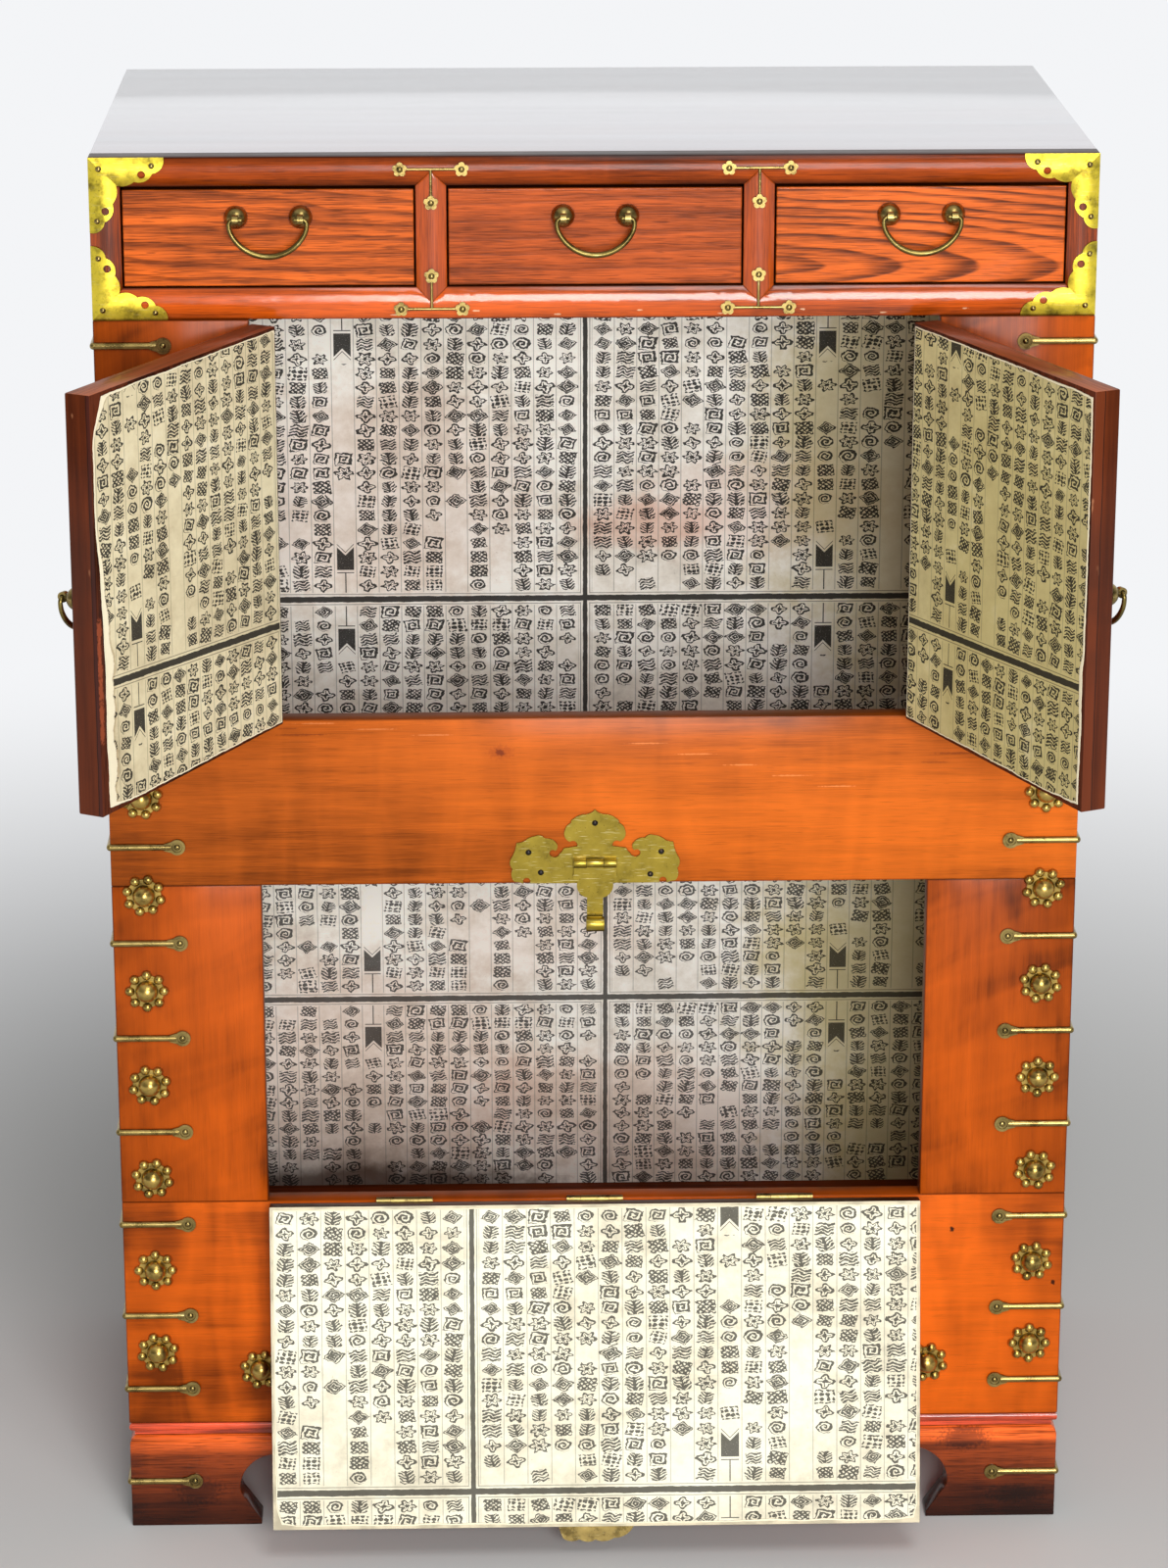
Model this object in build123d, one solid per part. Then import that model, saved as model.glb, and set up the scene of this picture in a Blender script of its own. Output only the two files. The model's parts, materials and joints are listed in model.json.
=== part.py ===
from build123d import *

import os
from math import atan2, cos, hypot, pi, sin

# A two-tier chest: three small drawers on top, a compartment closed by a pair of doors, and below it a
# compartment closed by one drop door that is hinged at its bottom edge. Both doors and the drop door are
# modelled standing open.
#
# Frame: millimetres, origin on the floor at the centre of the chest's footprint, +X to the right of a person
# who faces the chest, +Y towards the back, +Z up.

# ---- Carcass ----
CHEST_W = 750.0
CHEST_D = 420.0
SIDE_T = 18.0
BACK_T = 12.0
TOP_T = 18.0
FRONT_T = 18.0  # posts, mid board and bottom board
SHELF_T = 13.0  # divider between the tiers, and the lower floor
DECK_T = 12.0  # board that the drawers run on
POST_W = 116.0  # from the side of the chest to both compartments' openings

# ---- Heights, from the floor up ----
BASE_H = 80.0
GROOVE_H = 4.0
BEAD_H = 7.5
BOTTOM_BOARD_H = 193.0
LOWER_OPENING_H = 264.5
MID_BOARD_H = 134.0
UPPER_OPENING_H = 312.0
DRAWER_RAIL_H = 24.0
DRAWER_OPENING_H = 76.0
TOP_RAIL_H = 22.0
LOWER_FLOOR_RISE = 21.5  # underside of the lower floor over the bead

# ---- Drawer frame: bars with a convex front ----
RAIL_D = 22.0
BAR_BULGE = 3.0
END_STILE_W = 23.0
MUNTIN_W = 23.0
MIDDLE_OPENING_W = 221.0
PARTITION_T = 10.0
GUIDE_H = 20.0

# ---- Drawers ----
DRAWER_BACK_GAP = 35.0  # behind a drawer that is pushed in
DRAWER_FRONT_T = 14.0
DRAWER_WALL_T = 8.0
DRAWER_BOTTOM_T = 6.0
DRAWER_WALL_H = 60.0
DRAWER_RECESS = 3.0
DRAWER_SIDE_GAP = 1.3
DRAWER_TOP_GAP = 2.3
DRAWER_LIFT = 0.3  # running gap over the deck
FRONT_LIFT = 1.3  # lower edge of a drawer front over the deck
DRAWER_PULL_Z = 53.0  # pull axis over the deck

# ---- Doors and drop door ----
DOOR_T = 20.5
DOOR_GAP = 0.8  # at the hinged edge
DOOR_MEETING_GAP = 2.4
DOOR_END_GAP = 1.5  # over and under the doors
DOOR_PULL_INSET = 33.0  # pull centre from the free edge
DOOR_PULL_RISE = 3.5  # pull axis over the door's middle
LEFT_DOOR_ANGLE = 118.0  # degrees open
RIGHT_DOOR_ANGLE = 114.0
LID_T = 16.5
LID_GAP = 0.8  # at the hinged edge
LID_SIDE_GAP = 1.5
LID_TOP_GAP = 3.5
LID_ANGLE = 168.0
STOP_D = 10.0
DOOR_STOP_DROP = 4.2  # below the drawer rail
LID_STOP_DROP = 6.0  # below the divider
PAPER_T = 0.5
PAPER_MARGIN = 2.0
EDGE_ROUND = 1.2

# ---- Butt hinges ----
HINGE_OUT = 3.1  # axis in front of the face that carries the leaves
KNUCKLE_R = 2.9
KNUCKLE_END_L = 11.0
KNUCKLE_MID_L = 22.0
KNUCKLE_GAP = 0.3
PIN_R = 1.5
PIN_FIT = 0.05  # radial
LEAF_W = 24.0
LEAF_T = 1.2
LEAF_CLEAR = 0.4  # from the other leaf's knuckles
LEAF_NAIL_SHARES = (0.4, 0.78)  # nail rows across a leaf
DOOR_HINGE_INSET = 50.0  # hinge centre from the door's ends
LID_HINGE_PITCH = 151.0

# ---- Bail pulls ----
POST_SPACING = 48.0
DOME_R = 8.75
EYE_OUT = 12.0  # bail axis in front of the face
EYE_R = 3.9
EYE_W = 4.4
EYE_NECK_R = 3.0
BAIL_R = 1.9
BAIL_FIT = 0.3  # radial, in the eyes
BAIL_OVERHANG = 4.9  # arm's centre line outside the eye's
BAIL_TIP = 2.0  # rod end beyond the eye, inwards
BAIL_BEND_R = 3.2
BAIL_SHOULDER_R = 17.0
BAIL_DROP = 27.4  # lowest point of the rod's centre line below its axis

# ---- Base ----
BASE_T = 24.0
BASE_ROUND = 8.0
GROOVE_INSET = 4.0
FOOT_L = 105.0  # of a foot, along the front and along the sides
FOOT_BITE = 17.0  # how far the arch's lobe cuts in beyond the foot's tip
ARCH_TOP_Z = 62.0
ARCH_LOBE_Z = 33.0
ARCH_SHOULDER_GAP = 8.0  # from the foot's tip to where the arch's flat top ends
ARCH_HEEL_DX = 5.0  # lobe's lower end, in from its widest point
ARCH_LOBE_BULGE = 5.0
ARCH_LOBE_DROP = 10.0  # middle of the lobe's upper arc below the arch's top
ARCH_HEEL_BOW = 1.0
ARCH_HEEL_Z = 22.0
FOOT_TIP_Z = 4.5

# ---- Brass trim ----
PLATE_T = 1.2
CORNER_PLATE_ARM = 56.0
CORNER_PLATE_HOLE_R = 2.9
CORNER_PLATE_HOLE_SHARES = (0.705, 0.218)  # of the arm: along it, and in from its edge
CORNER_PLATE_NAIL_SHARES = (0.839, 0.107, 0.143)  # along and in for the end nails, both ways for the corner's
BRACE_SPAN = 45.8
BRACE_STEM = 25.0
BRACE_BAR_R = 1.1
BRACE_KNOB_R = 5.5
TOP_BRACE_OFFSET = 1.7  # bar beyond the rail's middle, away from the drawers
LOW_BRACE_OFFSET = 4.3
STRAP_R = 2.75
STRAP_ARM = 58.0
STRAP_EYE_R = 6.2
STRAP_EYE_T = 1.8
STRAP_TAPER = 10.0
STRAP_TOP_DROP = 19.0  # highest strap below the drawer frame
STRAP_PITCH = 79.0  # about, between the highest and the lowest but one
STRAP_LOW_RISE = 94.5  # lowest strap but one over the bead
STRAP_FOOT_RISE = 30.5  # lowest strap over the bead
STUD_INSET = 25.0  # from the side of the chest
STUD_DOME_R = 8.75
STUD_PETAL_R = 4.0
STUD_PETAL_RING_R = 13.3
STUD_PETALS = 8
STUD_DISC_T = 1.0
STUD_ROW_RISE = 46.5  # over the bead
STUD_ROW_OVERHANG = 9.0  # end studs beyond the opening
STUD_ROW_COUNT = 7
NAIL_R = 2.35
NAIL_H = 1.5

# ---- Hasp and lock plate ----
HASP_PLATE_H = 60.0
HASP_BITE_SHARES = (0.883, 0.03, 0.048)  # round bite in the plate's lower edge, in plate heights
HASP_NAIL_SHARES = ((0, 0.817), (-0.858, 0.425), (0.858, 0.425), (-0.7, 0.15), (0.717, 0.117))
HASP_BARREL_R = 3.2
HASP_BARREL_L = 33.0
HASP_MID_L = 13.0
HASP_AXIS_RISE = 17.4  # barrel axis over the plate's straight edge
HASP_TAIL = 48.0  # centre of the rolled end below the barrel axis
HASP_ROLL_R = 5.75
HASP_ROLL_BORE_R = 4.0
HASP_ROLL_L = 13.8
HASP_NECK_W = 12.5
HASP_SKIRT_H = 15.0  # straight-sided part of the leaf
HASP_LEAF_W = 33.0
HASP_LOBE_W = 27.5
HASP_LOBE_H = 13.0
HASP_LOBE_BOW = 3.2
HASP_CORNER_H = 6.0  # rounded corner of the skirt
HASP_CORNER_BOW = 1.6
LOCK_PLATE_W = 63.0
LOCK_PLATE_H = 40.0
LOCK_TAB_H = 16.5
LOCK_TAB_GAP = 0.2  # between the tab and the hasp plate
STAPLE_X = 9.8
STAPLE_W = 2.5
STAPLE_R = 5.5
STAPLE_BORE_R = 3.5

# ---- Planes and levels that follow from the sizes ----
HALF_W = CHEST_W / 2
FRONT = -CHEST_D / 2
BACK = CHEST_D / 2
BOARD_BACK = FRONT + FRONT_T
RAIL_BACK = FRONT + RAIL_D
INNER_BACK = BACK - BACK_T
INNER_X = HALF_W - SIDE_T
HALF_OPENING = HALF_W - POST_W
BEAD_Z = BASE_H + GROOVE_H
BOX_Z = BEAD_Z + BEAD_H
LID_AXIS_Z = BOX_Z + BOTTOM_BOARD_H
BOTTOM_BOARD_TOP = LID_AXIS_Z - LID_GAP / 2
MID_BOARD_Z = LID_AXIS_Z + LOWER_OPENING_H
UPPER_OPENING_Z = MID_BOARD_Z + MID_BOARD_H
DRAWER_RAIL_Z = UPPER_OPENING_Z + UPPER_OPENING_H
DECK_Z = DRAWER_RAIL_Z + DRAWER_RAIL_H
TOP_RAIL_Z = DECK_Z + DRAWER_OPENING_H
CHEST_H = TOP_RAIL_Z + TOP_RAIL_H
TOP_BOARD_Z = CHEST_H - TOP_T
DECK_BOTTOM = DECK_Z - DECK_T
LOWER_FLOOR_Z = BOX_Z + LOWER_FLOOR_RISE
LOWER_FLOOR_TOP = LOWER_FLOOR_Z + SHELF_T
DIVIDER_TOP = MID_BOARD_Z + SHELF_T
MUNTIN_X = (MIDDLE_OPENING_W + MUNTIN_W) / 2
END_OPENING_X0 = MUNTIN_X + MUNTIN_W / 2
END_OPENING_X1 = HALF_W - END_STILE_W
HINGE_Y = FRONT - HINGE_OUT
DOOR_Z = UPPER_OPENING_Z + DOOR_END_GAP
DOOR_H = UPPER_OPENING_H - 2 * DOOR_END_GAP
LID_Z = LID_AXIS_Z + LID_GAP / 2
LID_TOP = MID_BOARD_Z - LID_TOP_GAP
LID_HALF_W = HALF_OPENING - LID_SIDE_GAP
HASP_AXIS_Z = MID_BOARD_Z + HASP_AXIS_RISE
HASP_AXIS_Y = FRONT - PLATE_T - LOCK_TAB_GAP - HASP_BARREL_R


# ---- Helpers ----
def block(x_range, y_range, z_range):
    """A rectangular piece between two X, two Y and two Z values."""
    (x0, x1), (y0, y1), (z0, z1) = x_range, y_range, z_range
    return Pos(x0, y0, z0) * Box(x1 - x0, y1 - y0, z1 - z0, align=(Align.MIN,) * 3)


def polygon(points):
    return make_face(Polyline(*points, close=True))


def front_prism(face, y_front, y_back):
    """A face drawn in X and Z, made solid from y_front back to y_back."""
    return Pos(0, y_back, 0) * extrude(Plane.XZ * face, y_back - y_front)


def side_prism(face, x_low, x_high):
    """A face drawn in Y and Z, made solid from x_low to x_high."""
    return Pos(x_low, 0, 0) * extrude(Plane.YZ * face, x_high - x_low)


def bowed(start, end, bow):
    """An arc from start to end that stands out by bow to the right of its way."""
    run, rise = end[0] - start[0], end[1] - start[1]
    length = hypot(run, rise)
    middle = ((start[0] + end[0]) / 2 + bow * rise / length, (start[1] + end[1]) / 2 - bow * run / length)
    return ThreePointArc(start, middle, end)


def both_sides(piece):
    """A piece and its mirror image across the middle of the chest."""
    return [piece, mirror(piece, Plane.YZ)]


def rod_x(radius, length, y, z, x=0.0):
    return Pos(x, y, z) * Rot(0, 90, 0) * Cylinder(radius, length)


def dome(x, y, z, radius, height):
    """A spherical cap that stands forwards of the plane at y."""
    ball_r = (radius * radius + height * height) / (2 * height)
    ball = Pos(x, y + ball_r - height, z) * Sphere(ball_r)
    room = 2 * ball_r
    return ball & block((x - room, x + room), (y - room, y), (z - room, z + room))


def turned_z(piece, x, y, angle):
    """A piece turned about the upright axis through x and y."""
    return Pos(x, y, 0) * Rot(0, 0, angle) * Pos(-x, -y, 0) * piece


def turned_x(piece, y, z, angle):
    """A piece turned about the sideways axis through y and z."""
    return Pos(0, y, z) * Rot(angle, 0, 0) * Pos(0, -y, -z) * piece


def save(node, *pieces):
    solids = [solid for piece in pieces for solid in piece.solids()]
    export_step(Compound(children=solids), os.path.join("parts", node + ".step"))


# ---- Carcass boards ----
def side_panel():
    """The right side, cut back at the top where the deeper drawer frame starts."""
    outline = [
        (BOARD_BACK, BOX_Z),
        (INNER_BACK, BOX_Z),
        (INNER_BACK, TOP_BOARD_Z),
        (RAIL_BACK, TOP_BOARD_Z),
        (RAIL_BACK, DRAWER_RAIL_Z),
        (BOARD_BACK, DRAWER_RAIL_Z),
    ]
    return side_prism(polygon(outline), INNER_X, HALF_W)


def carcass():
    right, left = both_sides(side_panel())
    save("right_side_panel", right)
    save("left_side_panel", left)
    full_x = (-HALF_W, HALF_W)
    inner_x = (-INNER_X, INNER_X)
    front_y = (FRONT, BOARD_BACK)
    inner_y = (BOARD_BACK, INNER_BACK)
    save("back_panel", block(full_x, (INNER_BACK, BACK), (BOX_Z, TOP_BOARD_Z)))
    save("top_board", block(full_x, (RAIL_BACK, BACK), (TOP_BOARD_Z, CHEST_H)))
    save("drawer_deck", block(inner_x, (RAIL_BACK, INNER_BACK), (DECK_BOTTOM, DECK_Z)))
    upper_stile = block((HALF_OPENING, HALF_W), front_y, (UPPER_OPENING_Z, DRAWER_RAIL_Z))
    save("upper_side_stiles", *both_sides(upper_stile))
    save("mid_board", block(full_x, front_y, (MID_BOARD_Z, UPPER_OPENING_Z)))
    save("compartment_divider", block(inner_x, inner_y, (MID_BOARD_Z, DIVIDER_TOP)))
    lower_post = block((HALF_OPENING, HALF_W), front_y, (BOTTOM_BOARD_TOP, MID_BOARD_Z))
    save("lower_posts", *both_sides(lower_post))
    save("bottom_board", block(full_x, front_y, (BOX_Z, BOTTOM_BOARD_TOP)))
    save("lower_floor", block(inner_x, inner_y, (LOWER_FLOOR_Z, LOWER_FLOOR_TOP)))
    door_stop = block(
        (-HALF_OPENING / 2, HALF_OPENING / 2),
        (RAIL_BACK, RAIL_BACK + STOP_D),
        (DRAWER_RAIL_Z - DOOR_STOP_DROP, DECK_BOTTOM),
    )
    lid_stop = block(
        (-HALF_OPENING, HALF_OPENING),
        (BOARD_BACK, BOARD_BACK + STOP_D),
        (MID_BOARD_Z - LID_STOP_DROP, MID_BOARD_Z),
    )
    save("closing_stops", door_stop, lid_stop)


def wall_paper(y_low, z_low, z_high):
    """The paper on the back wall of a compartment, and on its side walls from y_low back."""
    inner = INNER_X - PAPER_T
    back = block((-inner, inner), (INNER_BACK - PAPER_T, INNER_BACK), (z_low, z_high))
    side = block((inner, INNER_X), (y_low, INNER_BACK), (z_low, z_high))
    return [back] + both_sides(side)


# ---- Drawer frame ----
def bar(width, length, proud=0.0):
    """An upright bar with a parabolic front, its crown at y = -proud and its middle at the origin."""
    edge, crown, back = BAR_BULGE - proud, -proud, RAIL_D - proud
    half = width / 2
    outline = [
        Bezier((-half, edge), (0, crown - BAR_BULGE), (half, edge)),
        Polyline((half, edge), (half, back), (-half, back), (-half, edge)),
    ]
    return Pos(0, 0, -length / 2) * extrude(make_face(outline), length)


def bar_setback(width, offset):
    """How far a bar's front lies behind its crown, at an offset from the bar's middle."""
    return BAR_BULGE * (2 * offset / width) ** 2


def rail(z_middle, height, proud=0.0):
    return Pos(0, FRONT, z_middle) * Rot(0, 90, 0) * bar(height, CHEST_W, proud)


def end_stile(proud=0.0):
    z_middle = (DRAWER_RAIL_Z + CHEST_H) / 2
    return Pos(HALF_W - END_STILE_W / 2, FRONT, z_middle) * bar(END_STILE_W, CHEST_H - DRAWER_RAIL_Z, proud)


def rail_shape(z_outer, z_inner):
    """The front outline of a rail, mitred at both ends."""
    outer = [(-HALF_W, z_outer), (HALF_W, z_outer)]
    return polygon(outer + [(END_OPENING_X1, z_inner), (-END_OPENING_X1, z_inner)])


def stile_shape():
    outer = [(HALF_W, DRAWER_RAIL_Z), (HALF_W, CHEST_H)]
    return polygon([(END_OPENING_X1, DECK_Z)] + outer + [(END_OPENING_X1, TOP_RAIL_Z)])


def muntin_shape():
    """The front outline of a muntin, whose pointed ends are let into the rails."""
    half = MUNTIN_W / 2
    right = [(half, DECK_Z), (half, TOP_RAIL_Z), (0, TOP_RAIL_Z + half)]
    left = [(-half, TOP_RAIL_Z), (-half, DECK_Z), (0, DECK_Z - half)]
    return polygon(right + left)


def frame_prism(face):
    return front_prism(face, FRONT - RAIL_D, RAIL_BACK)


def drawer_frame():
    muntin_cut = frame_prism(muntin_shape())
    muntin_z = (DECK_Z + TOP_RAIL_Z) / 2
    muntin_bar = Pos(0, FRONT, muntin_z) * bar(MUNTIN_W, DRAWER_OPENING_H + 2 * MUNTIN_W)
    muntin = Pos(MUNTIN_X, 0, 0) * (muntin_bar & muntin_cut)
    seats = both_sides(Pos(MUNTIN_X, 0, 0) * muntin_cut)
    top_rail = rail(CHEST_H - TOP_RAIL_H / 2, TOP_RAIL_H) & frame_prism(rail_shape(CHEST_H, TOP_RAIL_Z))
    low_rail = rail(DECK_Z - DRAWER_RAIL_H / 2, DRAWER_RAIL_H)
    low_rail &= frame_prism(rail_shape(DRAWER_RAIL_Z, DECK_Z))
    save("top_rail", top_rail - seats)
    save("drawer_rail", low_rail - seats)
    save("drawer_end_stiles", *both_sides(end_stile() & frame_prism(stile_shape())))
    save("drawer_muntins", *both_sides(muntin))


def drawer_partitions():
    """Boards behind the muntins, and guide strips that bring them and the sides flush with the openings."""
    run = (RAIL_BACK, INNER_BACK)
    height = (DECK_Z, TOP_BOARD_Z)
    guide = (DECK_Z, DECK_Z + GUIDE_H)
    board_x = (MUNTIN_X - PARTITION_T / 2, MUNTIN_X + PARTITION_T / 2)
    pieces = [
        block(board_x, run, height),
        block((MUNTIN_X - MUNTIN_W / 2, board_x[0]), run, guide),
        block((board_x[1], END_OPENING_X0), run, guide),
        block((END_OPENING_X1, INNER_X), run, guide),
    ]
    return [solid for piece in pieces for solid in both_sides(piece)]


# ---- Base ----
def arch_half(tip_x, lobe_x, shoulder_x):
    """Half the cloud-shaped cut-out under a base board, from the middle of its top to the foot's tip."""
    heel = (lobe_x - ARCH_HEEL_DX, ARCH_HEEL_Z)
    return [
        Line((0, ARCH_TOP_Z), (shoulder_x, ARCH_TOP_Z)),
        ThreePointArc(
            (shoulder_x, ARCH_TOP_Z),
            ((shoulder_x + lobe_x) / 2 + ARCH_LOBE_BULGE, ARCH_TOP_Z - ARCH_LOBE_DROP),
            (lobe_x, ARCH_LOBE_Z),
        ),
        bowed(heel, (lobe_x, ARCH_LOBE_Z), ARCH_HEEL_BOW),
        Line(heel, (tip_x, FOOT_TIP_Z)),
        Line((tip_x, FOOT_TIP_Z), (tip_x, -FOOT_TIP_Z)),
        Line((tip_x, -FOOT_TIP_Z), (0, -FOOT_TIP_Z)),
        Line((0, -FOOT_TIP_Z), (0, ARCH_TOP_Z)),
    ]


def arch(tip_x, depth):
    outline = arch_half(tip_x, tip_x + FOOT_BITE, tip_x - ARCH_SHOULDER_GAP)
    half = front_prism(make_face(outline), -depth / 2, depth / 2)
    return half + mirror(half, Plane.YZ)


def base():
    """Four boards that stand on edge, cut away between the feet, under a groove and a bead."""
    blank = block((-HALF_W, HALF_W), (FRONT, BACK), (0, BASE_H))
    blank = fillet(blank.edges().group_by(Axis.Z)[-1], BASE_ROUND)
    blank -= block((BASE_T - HALF_W, HALF_W - BASE_T), (FRONT + BASE_T, BACK - BASE_T), (0, BASE_H))
    blank -= arch(HALF_W - FOOT_L, CHEST_D)
    blank -= Rot(0, 0, 90) * arch(CHEST_D / 2 - FOOT_L, CHEST_W)
    front_zone = block((-HALF_W, HALF_W), (FRONT, FRONT + BASE_T), (0, BASE_H))
    side_zone = block((HALF_W - BASE_T, HALF_W), (FRONT + BASE_T, BACK - BASE_T), (0, BASE_H))
    save("base_front", blank & front_zone)
    save("base_back", blank & mirror(front_zone, Plane.XZ))
    save("base_sides", *both_sides(blank & side_zone))
    groove_x, groove_y = HALF_W - GROOVE_INSET, CHEST_D / 2 - GROOVE_INSET
    groove = block((-groove_x, groove_x), (-groove_y, groove_y), (BASE_H, BEAD_Z))
    bead = block((-HALF_W, HALF_W), (FRONT, BACK), (BEAD_Z, BOX_Z))
    outer = bead.edges().group_by(Axis.Z)[0] + bead.edges().group_by(Axis.Z)[-1]
    save("base_bead", groove + fillet(outer, BEAD_H * 0.45))


# ---- Pulls ----
def pull_posts():
    """Two domes with pierced eyes, on a face at y = 0, with the bail's axis at z = 0."""
    post = dome(0, 0, 0, DOME_R, DOME_R)
    post += Pos(0, -EYE_OUT / 2, 0) * Rot(90, 0, 0) * Cylinder(EYE_NECK_R, EYE_OUT)
    post += rod_x(EYE_R, EYE_W, -EYE_OUT, 0)
    post -= rod_x(BAIL_R + BAIL_FIT, 2 * DOME_R, -EYE_OUT, 0)
    return both_sides(Pos(POST_SPACING / 2, 0, 0) * post)


def on_circle(centre, radius, angle):
    return (centre[0] + radius * cos(angle), centre[1] + radius * sin(angle))


def bail():
    """A bail that hangs from its eyes: a low bow, round shoulders and ends turned in through the eyes."""
    arm_x = POST_SPACING / 2 + BAIL_OVERHANG
    tip_x = (POST_SPACING - EYE_W) / 2 - BAIL_TIP
    shoulder = (arm_x - BAIL_SHOULDER_R, -BAIL_BEND_R)
    drop = BAIL_DROP - BAIL_BEND_R
    bow_r = (shoulder[0] ** 2 + drop**2 - BAIL_SHOULDER_R**2) / (2 * (drop - BAIL_SHOULDER_R))
    bow = (0, bow_r - BAIL_DROP)
    join = atan2(shoulder[1] - bow[1], shoulder[0] - bow[0])
    bend = (arm_x - BAIL_BEND_R, -BAIL_BEND_R)
    ends = [(tip_x, 0), (bend[0], 0), (arm_x, -BAIL_BEND_R), on_circle(bow, bow_r, join)]
    half = [
        Line(ends[0], ends[1]),
        ThreePointArc(ends[1], on_circle(bend, BAIL_BEND_R, pi / 4), ends[2]),
        ThreePointArc(ends[2], on_circle(shoulder, BAIL_SHOULDER_R, join / 2), ends[3]),
        ThreePointArc(ends[3], on_circle(bow, bow_r, (join - pi / 2) / 2), (0, -BAIL_DROP)),
    ]
    path = Plane.XZ * Wire(half)
    rod = sweep(Plane(origin=path @ 0, z_dir=path % 0) * Circle(BAIL_R), path=path)
    rod += Pos(tip_x, 0, 0) * Sphere(BAIL_R)
    return Pos(0, -EYE_OUT, 0) * (rod + mirror(rod, Plane.YZ))


# ---- Drawers ----
def drawer(name, x0, x1):
    """A drawer in the opening from x0 to x1: front, box, pull posts and bail."""
    x_range = (x0 + DRAWER_SIDE_GAP, x1 - DRAWER_SIDE_GAP)
    front_y = FRONT + DRAWER_RECESS
    box_y = front_y + DRAWER_FRONT_T
    end_y = INNER_BACK - DRAWER_BACK_GAP
    board = block(x_range, (front_y, box_y), (DECK_Z + FRONT_LIFT, TOP_RAIL_Z - DRAWER_TOP_GAP))
    save(name + "_front", fillet(board.edges().group_by(Axis.Y)[0], EDGE_ROUND))
    low = DECK_Z + DRAWER_LIFT
    box_z = (low, low + DRAWER_WALL_H)
    inner_x = (x_range[0] + DRAWER_WALL_T, x_range[1] - DRAWER_WALL_T)
    save(
        name + "_box",
        block((x_range[0], inner_x[0]), (box_y, end_y), box_z),
        block((inner_x[1], x_range[1]), (box_y, end_y), box_z),
        block(inner_x, (end_y - DRAWER_WALL_T, end_y), box_z),
        block(inner_x, (box_y, end_y - DRAWER_WALL_T), (low, low + DRAWER_BOTTOM_T)),
    )
    place = Pos((x0 + x1) / 2, front_y, DECK_Z + DRAWER_PULL_Z)
    save(name + "_pull_posts", *[place * post for post in pull_posts()])
    save(name + "_bail", place * bail())


# ---- Hinges ----
def knuckle(z_middle, length):
    return Pos(0, 0, z_middle) * Cylinder(KNUCKLE_R, length)


def hinge_leaf(fixed):
    """One leaf of a closed hinge about the Z axis: the fixed leaf reaches to +X, the moving one to -X."""
    mid_room = KNUCKLE_MID_L + 2 * KNUCKLE_GAP
    total = mid_room + 2 * KNUCKLE_END_L
    end_z = (mid_room + KNUCKLE_END_L) / 2
    face = (HINGE_OUT - LEAF_T, HINGE_OUT)
    leaf = block((0, LEAF_W), face, (-total / 2, total / 2))
    clear = KNUCKLE_R + LEAF_CLEAR
    if fixed:
        leaf -= block((0, clear), face, (-mid_room / 2, mid_room / 2))
        leaf += knuckle(end_z, KNUCKLE_END_L) + knuckle(-end_z, KNUCKLE_END_L)
    else:
        leaf -= block((0, clear), face, (KNUCKLE_MID_L / 2, total / 2))
        leaf -= block((0, clear), face, (-total / 2, -KNUCKLE_MID_L / 2))
        leaf += knuckle(0, KNUCKLE_MID_L)
    for x in [LEAF_W * share for share in LEAF_NAIL_SHARES]:
        for z in (-total / 3, total / 3):
            leaf += dome(x, HINGE_OUT - LEAF_T, z, NAIL_R, NAIL_H)
    leaf -= Cylinder(PIN_R + PIN_FIT, total)
    return leaf if fixed else mirror(leaf, Plane.YZ)


def hinge_pin():
    return Cylinder(PIN_R, KNUCKLE_MID_L + 2 * KNUCKLE_GAP + 2 * KNUCKLE_END_L)


def door_hinge_places():
    levels = (DOOR_Z + DOOR_HINGE_INSET, DOOR_Z + DOOR_H - DOOR_HINGE_INSET)
    return [Pos(HALF_OPENING, HINGE_Y, z) for z in levels]


def lid_hinge_places():
    return [Pos(x, HINGE_Y, LID_AXIS_Z) * Rot(0, 90, 0) for x in (-LID_HINGE_PITCH, 0, LID_HINGE_PITCH)]


def fixed_hinge_pieces():
    doors = [place * hinge_leaf(True) for place in door_hinge_places()]
    pins = [place * hinge_pin() for place in door_hinge_places()]
    leaves = [leaf for door in doors for leaf in both_sides(door)]
    leaves += [place * hinge_leaf(True) for place in lid_hinge_places()]
    all_pins = [solid for pin in pins for solid in both_sides(pin)]
    all_pins += [place * hinge_pin() for place in lid_hinge_places()]
    save("carcass_hinge_leaves", *leaves)
    save("hinge_pins", *all_pins)


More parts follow.
